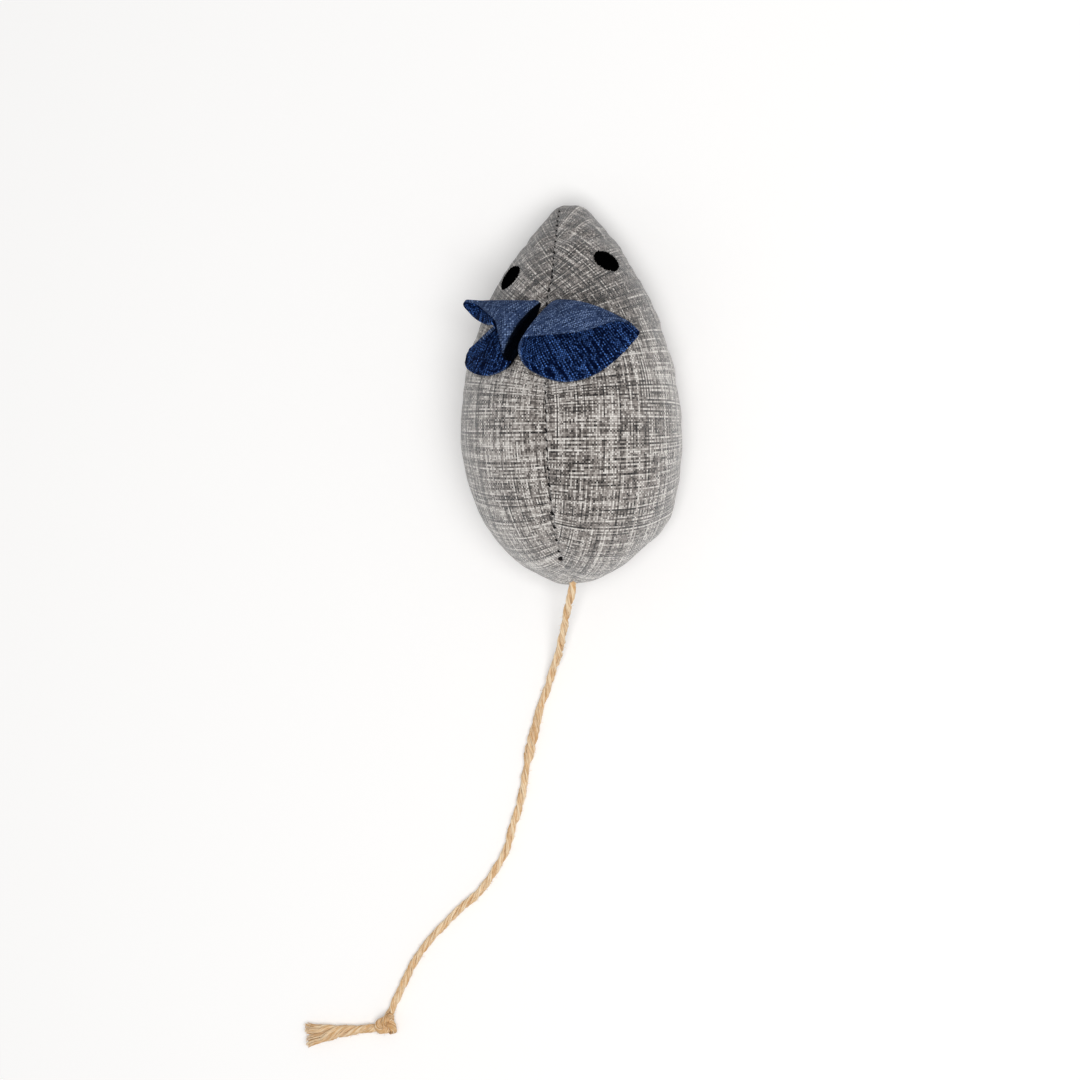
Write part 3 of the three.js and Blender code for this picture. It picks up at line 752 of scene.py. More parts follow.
def knot(name, centre, size, heading):
    path = knot_path(centre, size, heading)
    turn = FULL_TURN * KNOT_TWISTS * np.arange(len(path)) / (len(path) - 1)
    return laid_jute(name, path, turn=turn, orbit=0.42, spread=0.5, strands=20, twist=0.2, waver=0.3,
                     hairs=0.08, paleness=0.15, seed=9)


TUFT_LENGTH = 18.2
TUFT_START = 1.4  # from the middle of the knot
TUFT_ASIDE = 1.0
TUFT_HEIGHT = 1.5
TUFT_DROOP = 0.2
TUFT_TWIST = -500  # degrees that are left in it at the knot
TUFT_POINTS = 60
# Shares of its length: what is still closed, what is twisted, and the notch in its end
CLOSED, TWISTED, NOTCH = 0.2, 0.8, 0.15


def frayed_end():
    """The two plies past the knot, which untwist into one loose brush with a notch in its end."""
    heading = math.radians(TUFT_HEADING)
    share = np.linspace(0, 1, TUFT_POINTS)
    along = np.array([math.cos(heading), math.sin(heading), 0])
    path = np.array(KNOT_CENTRE) + np.outer(share * TUFT_LENGTH + TUFT_START, along)
    path[:, 1] -= TUFT_ASIDE
    path[:, 2] = TUFT_HEIGHT - TUFT_DROOP * share
    opened = np.clip((share - CLOSED) / (1 - CLOSED), 0, 1) ** 1.4
    notch = np.clip((share - (1 - NOTCH)) / NOTCH, 0, 1) ** 2
    turn = math.radians(TUFT_TWIST) * (1 - np.clip(share / TWISTED, 0, 1)) ** 1.3
    return laid_jute("tail_frayed_end", path, turn=turn, orbit=PLY_ORBIT + 0.85 * opened + 0.6 * notch,
                     spread=PLY_RADIUS + 1.25 * opened, flat=1 - 0.5 * opened, thickness=0.85 - 0.4 * opened,
                     strands=130, twist=0.1, waver=0.6, hairs=0.08, fray=0.13, paleness=0.42, seed=21)


END_KNOT = {"from_centre": (0.5, -0.4, 0), "size": 6.0, "heading": 40}
ROOT_KNOT = {"centre": (0, RUMP_Y + 7, TAIL_HEIGHT), "size": 5.2, "heading": 0}

root_twine, twine, twine_path = tail_twine()
end_knot = knot("tail_end_knot", tuple(np.add(KNOT_CENTRE, END_KNOT["from_centre"])), END_KNOT["size"],
                END_KNOT["heading"])
frayed = frayed_end()
root_knot = knot("tail_root_knot", **ROOT_KNOT)

# Body cover


def body_section(b):
    """y, half width, middle height, rise above it and drop below it, at the lengthwise angle b."""
    front = np.asarray(b) > 0
    run = np.abs(np.sin(b))
    girth = np.maximum(np.cos(b), 0)
    nose = {**NOSE_ROUNDING, "length": FRONT_LENGTH, "height": NOSE_HEIGHT, "sign": 1}
    rump = {**RUMP_ROUNDING, "length": BODY_LENGTH - FRONT_LENGTH, "height": TAIL_HEIGHT, "sign": -1}
    end = {key: np.where(front, nose[key], rump[key]) for key in nose}
    y = WIDEST_Y + end["sign"] * end["length"] * run ** (2 / end["along"])
    half_width = BODY_WIDTH / 2 * girth ** (2 / end["across"])
    middle = end["height"] + (WIDEST_HEIGHT - end["height"]) * girth
    above = (BODY_HEIGHT - WIDEST_HEIGHT) * girth ** end["crown"]
    below = (WIDEST_HEIGHT + BELLY_PRESS) * girth ** BELLY_ROUNDING
    return y, half_width, middle, above, below


def angle_at(y):
    front = np.asarray(y) > WIDEST_Y
    length = np.where(front, FRONT_LENGTH, BODY_LENGTH - FRONT_LENGTH)
    along = np.where(front, NOSE_ROUNDING["along"], RUMP_ROUNDING["along"])
    share = np.minimum(np.abs(y - WIDEST_Y) / length, 1)
    return np.where(front, 1, -1) * np.arcsin(share ** (along / 2))


def back_height(x, y):
    """The height of the plain body's back at a point in plan. Past the flank it stays at the flank's."""
    _, half_width, middle, above, _ = body_section(angle_at(y))
    share = np.minimum(np.abs(x) / half_width, FLANK_SHARE)
    return middle + above * np.sqrt(1 - share ** 2)


# The back seam wanders: y along the body and x across it
SEAM_LINE = [(-42.5, -0.4), (-37.4, -0.7), (-30, -0.4), (-16, -0.2), (-2, -0.3), (21, -1.2), (25, -0.6),
             (31, -1.0), (36, -1.4), (40, -2.0), (42.5, -2.2)]
FORM_RINGS = 72
FORM_COLUMNS = 96


def seam_x(y):
    return np.interp(y, *np.array(SEAM_LINE).T)


def body_form():
    """The plain body as a closed mesh, pressed flat on the floor."""
    b = np.pi * (np.arange(1, FORM_RINGS) / FORM_RINGS - 0.5)
    a = FULL_TURN * np.arange(FORM_COLUMNS) / FORM_COLUMNS
    y, half_width, middle, above, below = (v[:, None] for v in body_section(b))
    rise = np.sin(a)
    z = np.maximum(middle + rise * np.where(rise > 0, above, below), 0)
    grid = np.stack(np.broadcast_arrays(half_width * np.cos(a), y, z), axis=2).reshape(-1, 3)
    points = [(0, RUMP_Y, TAIL_HEIGHT), *grid, (0, NOSE_Y, NOSE_HEIGHT)]
    last = len(points) - 1
    faces = []
    for j in range(FORM_COLUMNS):
        k = (j + 1) % FORM_COLUMNS
        faces.append((0, 1 + j, 1 + k))
        for i in range(FORM_RINGS - 2):
            low, high = 1 + i * FORM_COLUMNS, 1 + (i + 1) * FORM_COLUMNS
            faces.append((low + j, high + j, high + k, low + k))
        top = 1 + (FORM_RINGS - 2) * FORM_COLUMNS
        faces.append((last, top + k, top + j))
    return mesh_of("body_form", points, faces)


COVER_GRID = 1.6  # spacing of the simulated cloth
SIM_SCALE = 25  # the cloth solver is tuned for pieces about two metres long
SIM_FRAMES = 18
SIM_CAP = 0.35
SEAM_REACH = 2.2
EVEN_STEPS = 25  # rounds of averaging that find the change of size, which is taken out
RESTING_HEIGHT = 0.4  # cloth lower than this lies on the floor and stays there
STUFFING = {"quality": 6, "mass": 0.3, "tension_stiffness": 20, "compression_stiffness": 20,
            "shear_stiffness": 8, "bending_stiffness": 0.6, "use_pressure": True,
            "uniform_pressure_force": 6, "shrink_max": 0.1}


def near_seams(points):
    """Distance of each point from the nearest seam, up to the reach of the gathers."""
    x, y, z = points.T
    back = np.where(z > BELLY_SEAM_HEIGHT, np.abs(x - seam_x(y)), SEAM_REACH)
    return np.minimum(back, np.abs(z - BELLY_SEAM_HEIGHT))


def neighbours_mean(mesh, values, rounds):
    """Values of a mesh's points averaged with their neighbours', several times over."""
    ends = gather(mesh.edges, "vertices", 2, int)
    a, b = ends.T
    count = np.bincount(ends.ravel(), minlength=len(values))[:, None] + 1
    for _ in range(rounds):
        total = values.copy()
        np.add.at(total, a, values[b])
        np.add.at(total, b, values[a])
        values = total / count
    return values


def blow_out(cover):
    """Cloth simulation: the filling presses the cover out, and the drawn seams gather it."""
    rest = coordinates(cover.data)
    drawn = cover.vertex_groups.new(name="drawn_seam")
    distance = near_seams(rest / MM)
    for i in np.flatnonzero(distance < SEAM_REACH):
        drawn.add([int(i)], float(1 - distance[i] / SEAM_REACH), "REPLACE")
    set_coordinates(cover.data, rest * SIM_SCALE)
    settings = cover.modifiers.new("stuffing", "CLOTH").settings
    for name, value in STUFFING.items():
        setattr(settings, name, value)
    settings.vertex_group_shrink = drawn.name
    settings.effector_weights.gravity = 0
    scene = bpy.context.scene
    for step in range(1, SIM_FRAMES + 1):
        scene.frame_set(step)
    settle(cover)
    scene.frame_set(1)
    move = coordinates(cover.data) / SIM_SCALE - rest
    move -= neighbours_mean(cover.data, move, EVEN_STEPS)
    size = np.linalg.norm(move, axis=1, keepdims=True) / MM
    moved = rest + move * np.minimum(1, SIM_CAP / np.maximum(size, 1e-6))
    low = RESTING_HEIGHT * MM
    moved[:, 2] = np.where(rest[:, 2] < low, np.clip(moved[:, 2], 0, low), np.maximum(moved[:, 2], 0))
    set_coordinates(cover.data, moved)


FILL_GAP = 1.9


def stuffed_cover():
    """The whole cover before it is cut into panels, and the filling inside it."""
    cover = put_in_scene("cover", body_form())
    remesh = cover.modifiers.new("even_cloth", "REMESH")
    remesh.mode = "VOXEL"
    remesh.voxel_size = COVER_GRID * MM
    settle(cover)
    blow_out(cover)
    filling = put_in_scene("loose_filling", cover.data.copy())
    set_coordinates(filling.data, coordinates(cover.data) - vertex_normals(cover.data) * FILL_GAP * MM)
    filling.data.shade_smooth()
    fine = cover.modifiers.new("fine", "SUBSURF")
    fine.levels = fine.render_levels = 2
    return settle(cover), filling


# How the seams and the filling shape the cloth
SEAM_ROLL = 0.8  # width of the rounded turn into a seam
SEAM_DIP = 0.45
NOSE_FADE = 5  # the back seam is no longer drawn in this close to the nose
STITCH_SPACING = 2.1
PUCKER = 0.13
PUCKER_START = 0.5  # puckers grow from nothing at the seam to their full depth here
PUCKER_REACH = 3.2
TURN_LENGTH = 30  # length along a seam for each radian round the body
LUMP = 0.35
LUMP_SIZE = 13
LUMP_PLACE = Vector((3, 7, 1))
RESTING_FADE = 1.5
LEAST_SLOPE = 0.3
# Spots where the cloth dips, or stands out where the depth is below 0: place, reach and depth
SPOTS = [
    ((-3.4, 41.6, 10.5), 3.6, -1.1), ((-2.4, 42.2, 10.5), 2.8, -0.6), ((2.9, 41.2, 10.5), 3.4, -0.6),
    ((10.8, 33.6, 9.0), 6.0, -0.4), ((22.4, -20.0, 10.0), 10.0, -0.8), ((19.3, -29.5, 10.0), 7.0, -1.5),
    ((14.0, -35.5, 11.0), 4.5, 0.4), ((-13.5, -36.3, 12.0), 8.0, -1.0), ((-5.5, -41.3, 14.0), 5.0, -0.4),
    ((-1.6, -42.5, 14.0), 4.5, -0.8), ((4.5, -28.5, 30.5), 2.6, 0.35), ((-4.5, -33.5, 26.5), 2.6, 0.3),
]


def seam_dip(distance, along):
    """How far a seam draws the cloth in, at a distance from it and a length along it."""
    roll = np.clip(1 - distance / SEAM_ROLL, 0, 1)
    turn_in = SEAM_DIP * (1 - np.sqrt(1 - roll ** 2))
    pucker = PUCKER * np.cos(FULL_TURN * along / STITCH_SPACING) * np.exp(-distance / PUCKER_REACH)
    return turn_in + pucker * np.clip(distance / PUCKER_START, 0, 1)


def shape_cloth(cover):
    points = coordinates(cover.data) / MM
    normals = vertex_normals(cover.data)
    x, y, z = points.T
    along_back = np.arctan2(z - TAIL_HEIGHT, y - WIDEST_Y) * TURN_LENGTH
    along_belly = np.arctan2(x, y - WIDEST_Y) * TURN_LENGTH
    by_nose = np.clip((NOSE_Y - y) / NOSE_FADE, 0, 1)
    dip = np.where(z > BELLY_SEAM_HEIGHT, seam_dip(np.abs(x - seam_x(y)), along_back) * by_nose, 0)
    slope = np.maximum(np.hypot(normals[:, 0], normals[:, 1]), LEAST_SLOPE)
    dip = np.maximum(dip, seam_dip(np.abs(z - BELLY_SEAM_HEIGHT) / slope, along_belly))
    for place, reach, depth in SPOTS:
        away = np.linalg.norm(points - np.array(place), axis=1)
        dip += depth * np.exp(-(away / reach) ** 2 * 2)
    lumps = np.array([noise.fractal(Vector(p) / LUMP_SIZE + LUMP_PLACE, 1.0, 2.0, 2) for p in points])
    height = LUMP * lumps - dip
    resting = np.clip(z / RESTING_FADE, 0, 1)
    moved = points + normals * (height * resting)[:, None]
    moved[:, 2] = np.maximum(moved[:, 2], FLOOR_CLEAR)
    set_coordinates(cover.data, moved * MM)


cover, filling = stuffed_cover()
shape_cloth(cover)
cover_surface = BVHTree.FromPolygons([v.co for v in cover.data.vertices],
                                     [p.vertices[:] for p in cover.data.polygons])

CLOTH = 0.8


def cut_panel(name, cuts):
    """A panel cut from the cover along the wandering back seam or the belly seam. Each cut is a point on a
    plane, once the back seam is straightened, and the direction that is kept."""
    form = bmesh.new()
    form.from_mesh(cover.data)
    for vertex in form.verts:
        vertex.co.x -= float(seam_x(vertex.co.y / MM)) * MM
    for place, keep in cuts:
        geometry = form.verts[:] + form.edges[:] + form.faces[:]
        bmesh.ops.bisect_plane(form, geom=geometry, dist=1e-7, plane_co=place, plane_no=keep,
                               clear_inner=True)
    for vertex in form.verts:
        vertex.co.x += float(seam_x(vertex.co.y / MM)) * MM
    mesh = mesh_from(form, name)
    mesh.shade_smooth()
    return put_in_scene(name, mesh, GREY_CLOTH)


def cloth_map(mesh):
    """The cloth map's coordinates and the places in millimetres, for each corner of each face."""
    owner = gather(mesh.loops, "vertex_index", 1, int)[:, 0]
    return gather(mesh.uv_layers["cloth"].uv, "vector", 2), coordinates(mesh)[owner] / MM


def flatten_cloth(piece, turn):
    """Gives a piece the cloth map: its surface laid flat, in millimetres, turned so that the grain runs
    along it and then by some degrees more."""
    bpy.context.view_layer.objects.active = piece
    piece.select_set(True)
    piece.data.uv_layers.new(name="cloth")
    bpy.ops.object.mode_set(mode="EDIT")
    bpy.ops.mesh.select_all(action="SELECT")
    bpy.ops.uv.unwrap(method="ANGLE_BASED", margin=0)
    bpy.ops.object.mode_set(mode="OBJECT")
    piece.select_set(False)
    mesh = piece.data
    flat, places = cloth_map(mesh)
    length = np.ptp(places[:, 1])
    middle = np.abs(places[:, 1] - places[:, 1].min() - length / 2) < length / 4
    run = [np.cov(flat[middle, i], places[middle, 1])[0, 1] for i in range(2)]
    corners = np.array([p.loop_indices[:3] for p in mesh.polygons])
    a, b, c = (flat[corners[:, i]] for i in range(3))
    across, along = b - a, c - a
    flat_area = np.abs(across[:, 0] * along[:, 1] - across[:, 1] * along[:, 0]).sum()
    a, b, c = (places[corners[:, i]] for i in range(3))
    true_area = np.linalg.norm(np.cross(b - a, c - a), axis=1).sum()
    size = math.sqrt(true_area / flat_area)
    angle = math.pi / 2 - math.atan2(run[1], run[0]) + math.radians(turn)
    rotation = np.array([[math.cos(angle), -math.sin(angle)], [math.sin(angle), math.cos(angle)]])
    mesh.uv_layers["cloth"].uv.foreach_set("vector", (flat @ rotation.T * size).ravel())


# How the grain leans towards an end, as on side panels cut to the body's profile: where along the body the
# lean begins and is full, and how many degrees it is
GRAIN_LEANS = [(-2, 26, 20), (-6, -26, 14)]
LEFT_PANEL_TURN = 4  # degrees that the whole grain of the left panel is off
BY_SEAM = 2  # cloth this close to the seam, and this close to a place along it, is measured
BY_PLACE = 1


def lean_grain(piece, start_y, full_y, degrees):
    """Leans the grain of a side panel towards one of its ends."""
    lean = math.tan(math.radians(degrees))
    flat, places = cloth_map(piece.data)
    outward = np.sign(np.cov(flat[:, 0], np.abs(places[:, 0]))[0, 1])
    out, along = outward * flat[:, 0], flat[:, 1]
    by_seam = np.abs(places[:, 0] - seam_x(places[:, 1])) < BY_SEAM
    start, full = (along[by_seam & (np.abs(places[:, 1] - y) < BY_PLACE)].mean() for y in (start_y, full_y))
    share = np.clip((along - start) / (full - start), 0, 1)
    seam_out = out[by_seam & (share == 1)].mean()
    summed = (full - start) * share ** 2 / 2 + np.where(share == 1, along - full, 0)
    leaning = np.stack([outward * (out + lean * summed), along - lean * share * (out - seam_out)], axis=1)
    piece.data.uv_layers["cloth"].uv.foreach_set("vector", leaning.ravel())


HEAD_PAINTED_SHADE = 0.165  # painted shade: the cloth is darkened towards the nose
HEAD_PAINTED_SHADE_FROM = 8
HEAD_PAINTED_SHADE_FULL = 24


# Paints shade on a panel, darker towards the nose
def paint_head_shade(piece):
    along = coordinates(piece.data)[:, 1] / MM
    share = np.clip((along - HEAD_PAINTED_SHADE_FROM) / (HEAD_PAINTED_SHADE_FULL - HEAD_PAINTED_SHADE_FROM), 0, 1)
    set_attribute(piece.data, "darker", HEAD_PAINTED_SHADE * share)


def thicken(piece, thickness, inner_material=0):
    """Gives a cloth its thickness, inwards from the surface that shows."""
    wall = piece.modifiers.new("cloth_thickness", "SOLIDIFY")
    wall.thickness = thickness * MM
    wall.offset = -1
    wall.material_offset = inner_material
    return settle(piece)


SEAM_LEVEL = (0, 0, BELLY_SEAM_HEIGHT * MM)
left_panel = cut_panel("left_side_cloth", [((0, 0, 0), (-1, 0, 0)), (SEAM_LEVEL, (0, 0, 1))])
right_panel = cut_panel("right_side_cloth", [((0, 0, 0), (1, 0, 0)), (SEAM_LEVEL, (0, 0, 1))])
belly_panel = cut_panel("belly_cloth", [(SEAM_LEVEL, (0, 0, -1))])
for panel, turn in ((left_panel, LEFT_PANEL_TURN), (right_panel, 0), (belly_panel, 0)):
    flatten_cloth(panel, turn)
    if panel is not belly_panel:
        for lean in GRAIN_LEANS:
            lean_grain(panel, *lean)
    paint_head_shade(panel)
    thicken(panel, CLOTH)

# Seam stitches


def outline_on_cover(centre, directions, lift):
    """Points of the cover seen from a centre inside it, lifted along the line of sight, and those lines."""
    points, ups = [], []
    for direction in directions:
        outwards = Vector(direction).normalized()
        place, _, _, _ = cover_surface.ray_cast(Vector(centre) * MM, outwards)
        points.append((place + outwards * lift * MM) / MM)
        ups.append(outwards)
    return np.array(points), np.array(ups)


def back_seam(from_y, to_y, lift, count):
    """The back seam between two places along the body."""
    b = np.linspace(float(angle_at(from_y)), float(angle_at(to_y)), count)
    y, _, middle, above, _ = body_section(b)
    centre = np.array([0, WIDEST_Y, TAIL_HEIGHT])
    targets = np.stack([seam_x(y), y, middle + above], axis=1)
    return outline_on_cover(centre, targets - centre, lift)


BODY_SLIMNESS = 0.6  # width over length


def belly_seam(lift, count):
    turn = np.linspace(0, FULL_TURN, count, endpoint=False)
    directions = np.stack([np.sin(turn) * BODY_SLIMNESS, np.cos(turn), np.zeros(count)], axis=1)
    return outline_on_cover((0, WIDEST_Y, BELLY_SEAM_HEIGHT), directions, lift)


# Rows of stitches: their sizes, lean in radians and seed. The seam gapes in front of the ears, so its
# stitches show longer there.
HEAD_ROW = {"spacing": 1.75, "length": 1.5, "thickness": 0.42, "sink": 0.1, "lean": 0.2, "seed": 5}
BACK_ROW = {"spacing": STITCH_SPACING, "length": 0.75, "thickness": 0.34, "sink": 0.18, "lean": 0.3,
            "seed": 5}
CLOSING_ROW = {"spacing": 3.0, "length": 0.8, "thickness": 0.55, "sink": 0.28, "lean": 0.5, "seed": 8}
BELLY_ROW = {"spacing": STITCH_SPACING, "length": 1.4, "thickness": 0.5, "sink": 0.2, "lean": 0.2, "seed": 13}
FIRST_STITCH_Y = NOSE_Y - 0.8
EARS_Y = 20
CLOSING_START_Y = RUMP_Y + 23
CLOSING_KNOT_Y = RUMP_Y + 5.1
CLOSING_MARGIN = 1.5  # clear of the row before and of the knot
CLOSING_KNOT = {"size": 1.2, "heading": 20, "thread": 0.5}


def stitch_row(name, seam, row, closed=False):
    path, up = seam
    sizes = {key: size if key in ("lean", "seed") else size * MM for key, size in row.items()}
    return grow(name, path_mesh(name, path, closed=closed, up=up), STITCH_TREE, material=SEAM_THREAD, **sizes)


def seam_stitches():
    head_seam = back_seam(FIRST_STITCH_Y, EARS_Y, lift=0.12, count=70)
    on_head = stitch_row("head_seam_stitches", head_seam, HEAD_ROW)
    open_back = back_seam(EARS_Y, CLOSING_START_Y, lift=0.1, count=100)
    on_back = stitch_row("back_seam_stitches", open_back, BACK_ROW)
    closing_seam = back_seam(CLOSING_START_Y - CLOSING_MARGIN, CLOSING_KNOT_Y + CLOSING_MARGIN, lift=0.2,
                             count=80)
    closing = stitch_row("closing_stitches", closing_seam, CLOSING_ROW)
    belly = stitch_row("belly_seam_stitches", belly_seam(lift=0.2, count=200), BELLY_ROW, closed=True)
    spot, _ = back_seam(CLOSING_KNOT_Y, CLOSING_KNOT_Y, lift=0.3, count=1)
    wraps = path_mesh("closing_knot", knot_path(spot[0], **CLOSING_KNOT), thickness=1.0)
    tied = grow("closing_knot", wraps, THREAD_TREE, radius=CLOSING_KNOT["thread"] / 2 * MM, sides=8,
                material=SEAM_THREAD)
    return join("back_seam_stitches", on_back, on_head), join("closing_stitches", closing, tied), belly


back_stitches, closing_stitches, belly_stitches = seam_stitches()

# Eyes

FLOSS = 0.42
FLOSS_SPACING = 0.3
LEFT_EYE = {"place": (-11.3, NOSE_Y - 16.5), "turn": 45, "size": (6.0, 5.6), "seed": 4}
RIGHT_EYE = {"place": (10.6, NOSE_Y - 13.6), "turn": -18, "size": (6.1, 4.9), "seed": 6}
EYE_DOME = 0.75
EYE_SINK = 0.1
EYE_LAYERS = 2
LAYER_DROP = 0.18
EYE_TIP = 0.02  # keeps the outermost floss from vanishing
FLOSS_POINTS = 11
# How much one strand of floss differs from the next
FLOSS_STRAY = 0.05
FLOSS_SLANT = 0.12
FLOSS_SHORT, FLOSS_LONG = -0.12, 0.22
FLOSS_THIN, FLOSS_THICK = 0.9, 1.1
ABOVE_CLOTH = 6  # heights from which the floss and the eye's middle are dropped on the cloth
OVER_BODY = 80


def satin_eye(name, eye):
    """An oval of satin stitch: floss laid side by side over a padded oval, its ends sunk in the cloth."""
    rng = np.random.default_rng(eye["seed"])
    centre, normal, _, _ = cover_surface.ray_cast(Vector((*eye["place"], OVER_BODY)) * MM, -UP)
    heading = math.radians(eye["turn"])
    long_axis = Vector((math.cos(heading), math.sin(heading), 0))
    long_axis = (long_axis - normal * long_axis.dot(normal)).normalized()
    short_axis = normal.cross(long_axis)
    half_long, half_short = eye["size"][0] / 2, eye["size"][1] / 2
    points, edges, thickness = [], [], []
    for layer in range(EYE_LAYERS):
        for step in np.arange(-half_long + FLOSS_SPACING / 2, half_long, FLOSS_SPACING):
            share = (step + rng.uniform(-FLOSS_STRAY, FLOSS_STRAY)) / half_long
            reach = half_short * math.sqrt(max(1 - share ** 2, EYE_TIP))
            reach += rng.uniform(FLOSS_SHORT, FLOSS_LONG)
            slant = rng.uniform(-FLOSS_SLANT, FLOSS_SLANT)
            first = len(points)
            for across in np.linspace(-1, 1, FLOSS_POINTS):
                spot = centre + (long_axis * (step + slant * across) + short_axis * (reach * across)) * MM
                place, out, _, _ = cover_surface.ray_cast(spot + normal * ABOVE_CLOTH * MM, -normal)
                dome = EYE_DOME * math.sqrt(max(1 - share ** 2, 0)) * (1 - across ** 4) - EYE_SINK
                points.append((place + out * (dome - LAYER_DROP * layer) * MM) / MM)
                thickness.append(rng.uniform(FLOSS_THIN, FLOSS_THICK))
            edges += [(i, i + 1) for i in range(first, len(points) - 1)]
    mesh = mesh_of(name, points, edges=edges)
    set_attribute(mesh, "thickness", thickness)
    return grow(name, mesh, THREAD_TREE, radius=FLOSS / 2 * MM, sides=6, material=BLACK_FLOSS)


left_eye = satin_eye("left_satin_eye", LEFT_EYE)
right_eye = satin_eye("right_satin_eye", RIGHT_EYE)

# Ears: rim and half-way points round each cup, as x, y from the root and the height above the plain back.
# The flat cloth is cut at one of the points, and between two of them it is drawn deep into a fold, where shade
# is painted on the outside.

EAR_ROOT_Y = NOSE_Y - 22.5
EAR_CLOTH = 0.7
LEFT_EAR = {
    "root": (-1.7, 0, 1.5),
    "cut": 9,
    "tuck": (6.4, 11.4),
    "rim": [(-19.2, 1.0, 7.0), (-16.9, -0.4, 8.0), (-12.8, -2.8, 9.0), (-10.5, -4.6, 9.8), (-9.5, -7.2, 10.0),
            (-8.7, -9.7, 9.5), (-8.4, -11.6, 8.2), (-8.3, -13.0, 5.4), (-8.4, -13.3, 2.8), (-7.4, -13.2, 1.6),
            (-8.6, -14.6, 1.5), (-10.8, -15.7, 1.7), (-13.7, -16.3, 1.8), (-17.1, -15.8, 2.0),
            (-20.3, -14.0, 2.0), (-21.2, -11.9, 2.3), (-20.4, -10.0, 2.7), (-17.1, -8.1, 3.5),
            (-14.3, -6.5, 4.5), (-11.9, -5.2, 6.2), (-13.8, -5.1, 5.7), (-16.3, -4.2, 5.2),
            (-18.8, -2.9, 5.0), (-20.4, -1.2, 5.0), (-21.1, 0.2, 5.5), (-20.6, 1.1, 6.3)],
    "waist": [(-10.2, 0.3, 6.8), (-9.2, -0.2, 7.8), (-7.6, -1.1, 8.6), (-6.6, -2.2, 9.0), (-6.0, -3.2, 9.2),
              (-5.6, -4.4, 9.2), (-5.2, -5.3, 8.6), (-4.8, -5.9, 7.2), (-4.7, -6.2, 4.2), (-3.8, -6.6, 1.5),
              (-5.2, -7.4, 1.3), (-6.6, -8.0, 1.4), (-8.4, -8.2, 1.5), (-10.0, -8.0, 1.6), (-11.4, -7.2, 1.6),
              (-11.8, -6.1, 1.8), (-11.4, -5.2, 2.1), (-10.2, -4.4, 2.6), (-9.0, -3.6, 3.4),
              (-8.4, -3.1, 4.5), (-9.0, -2.7, 4.3), (-9.8, -2.1, 4.0), (-10.7, -1.5, 3.9), (-11.3, -0.8, 4.0),
              (-11.4, -0.2, 4.6), (-10.9, 0.2, 5.6)],
}
RIGHT_EAR = {
    "root": (0.8, 0, 1.5),
    "cut": 8,
    "tuck": (7.0, 7.0),
    "rim": [(16.4, -5.0, 7.3), (18.6, -7.1, 4.0), (18.0, -9.6, 3.0), (14.7, -14.0, 2.3), (9.8, -17.5, 2.0),
            (3.5, -18.4, 2.0), (-2.8, -15.9, 2.2), (-4.8, -13.6, 4.4), (-4.9, -11.3, 7.4), (-4.2, -9.5, 8.8),
            (-2.4, -8.4, 9.0), (3.6, -8.1, 9.0), (10.0, -7.4, 9.3)],
    "waist": [(9.5, -1.2, 7.0), (10.5, -3.2, 4.0), (10.5, -4.8, 2.4), (8.5, -7.0, 1.6), (6.0, -8.8, 1.3),
              (2.8, -9.3, 1.3), (-0.8, -8.2, 1.5), (-2.1, -6.8, 3.6), (-2.1, -5.8, 6.6), (-1.6, -4.9, 8.0),
              (-0.4, -4.2, 8.2), (2.5, -3.4, 8.0), (6.3, -2.4, 8.4)],
}
EAR_COLUMNS = 132
EAR_ROWS = 34
NECK_SHARE = 0.05
PAINTED_FOLD_SHADE_EDGE = 0.5  # how soon the painted shade of a fold sets in, in rim points
LEFT_GRAIN = 85  # degrees from the length of the ear
RIGHT_GRAIN = 135


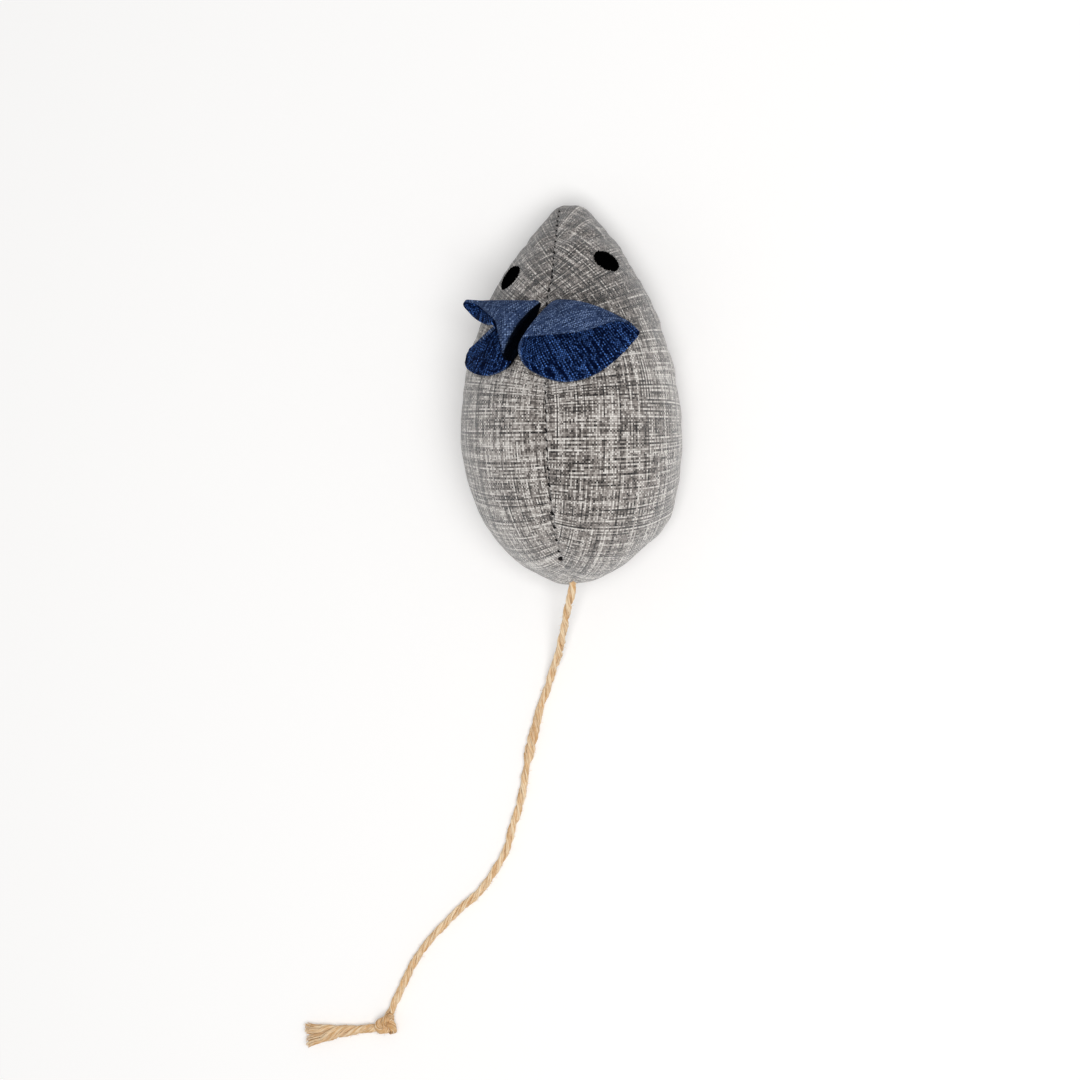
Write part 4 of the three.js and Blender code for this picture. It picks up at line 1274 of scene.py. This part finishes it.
def cupped_ear(name, ear):
    """A round of cloth gathered to a neck, so that it opens like a cup."""
    both = smooth_path(np.hstack([np.array(ear["rim"]), np.array(ear["waist"])]), EAR_COLUMNS, closed=True)
    rim, waist = both[:, :3], both[:, 3:]
    root = np.array(ear["root"], float)
    points = []
    for share in np.linspace(NECK_SHARE, 1, EAR_ROWS):
        ring = (root * 2 * (share - 0.5) * (share - 1) + waist * 4 * share * (1 - share)
                + rim * 2 * share * (share - 0.5))
        y = EAR_ROOT_Y + ring[:, 1]
        points.append(np.stack([ring[:, 0], y, back_height(ring[:, 0], y) + ring[:, 2]], axis=1))
    points = np.vstack(points)
    faces = [tuple(range(EAR_COLUMNS))]
    for i in range(EAR_ROWS - 1):
        low, high = i * EAR_COLUMNS, (i + 1) * EAR_COLUMNS
        for j in range(EAR_COLUMNS):
            k = (j + 1) % EAR_COLUMNS
            faces.append((low + j, high + j, high + k, low + k))
    mesh = mesh_of(name, points, faces)
    cut = int(ear["cut"] / len(ear["rim"]) * EAR_COLUMNS)
    for edge in mesh.edges:
        rows = {v // EAR_COLUMNS for v in edge.vertices}
        columns = {v % EAR_COLUMNS for v in edge.vertices}
        edge.use_seam = rows == {0} or columns == {cut}
    column = np.arange(len(points)) % EAR_COLUMNS * len(ear["rim"]) / EAR_COLUMNS
    # Painted shade on the cloth between the two rim points of the fold
    first, last = ear["tuck"]
    set_attribute(mesh, "tuck", np.clip(np.minimum(column - first, last - column) / PAINTED_FOLD_SHADE_EDGE, 0, 1))
    mesh.shade_smooth()
    return put_in_scene(name, mesh, BLUE_OUTSIDE, BLUE_INSIDE)


left_ear = cupped_ear("left_ear_cup", LEFT_EAR)
right_ear = cupped_ear("right_ear_cup", RIGHT_EAR)
for ear, turn in ((left_ear, LEFT_GRAIN), (right_ear, RIGHT_GRAIN)):
    flatten_cloth(ear, turn)
    thicken(ear, EAR_CLOTH, inner_material=1)

# Filling

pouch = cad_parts["catnip_pouch"]
for piece, fill_material in ((filling, loose_fill("loose_polyester_fibre", "#d5d2cb", "#f2f0ea", clump=4)),
                             (pouch, loose_fill("dried_catnip_in_gauze", "#5a6138", "#98a06c", clump=2))):
    piece.data.materials.clear()
    piece.data.materials.append(fill_material)

# Where each piece belongs

bpy.data.objects.remove(cover)
for piece, body, slot, cad_node in (
    (left_panel, "mouse_body", "grey_cloth", "left_side_panel"),
    (right_panel, "mouse_body", "grey_cloth", "right_side_panel"),
    (belly_panel, "mouse_body", "grey_cloth", "belly_panel"),
    (filling, "mouse_body", "polyester_fibre", "fibre_filling"),
    (back_stitches, "mouse_body", "seam_thread", "back_seam_thread"),
    (closing_stitches, "mouse_body", "seam_thread", "closing_thread"),
    (belly_stitches, "mouse_body", "seam_thread", "belly_seam_thread"),
    (left_eye, "mouse_body", "black_floss", "left_eye"),
    (right_eye, "mouse_body", "black_floss", "right_eye"),
    (left_ear, "left_ear", "blue_cloth", "left_ear"),
    (right_ear, "right_ear", "blue_cloth", "right_ear"),
    (root_knot, "mouse_body", "jute_twine", "tail_root"),
    (end_knot, "tail_far", "jute_twine", "tail_knot"),
    (frayed, "tail_far", "jute_twine", "tail_tuft"),
):
    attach(piece, body)
    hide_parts(cad_node)

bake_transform(root_twine)
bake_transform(twine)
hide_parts("tail_cord_near", "tail_cord_far")
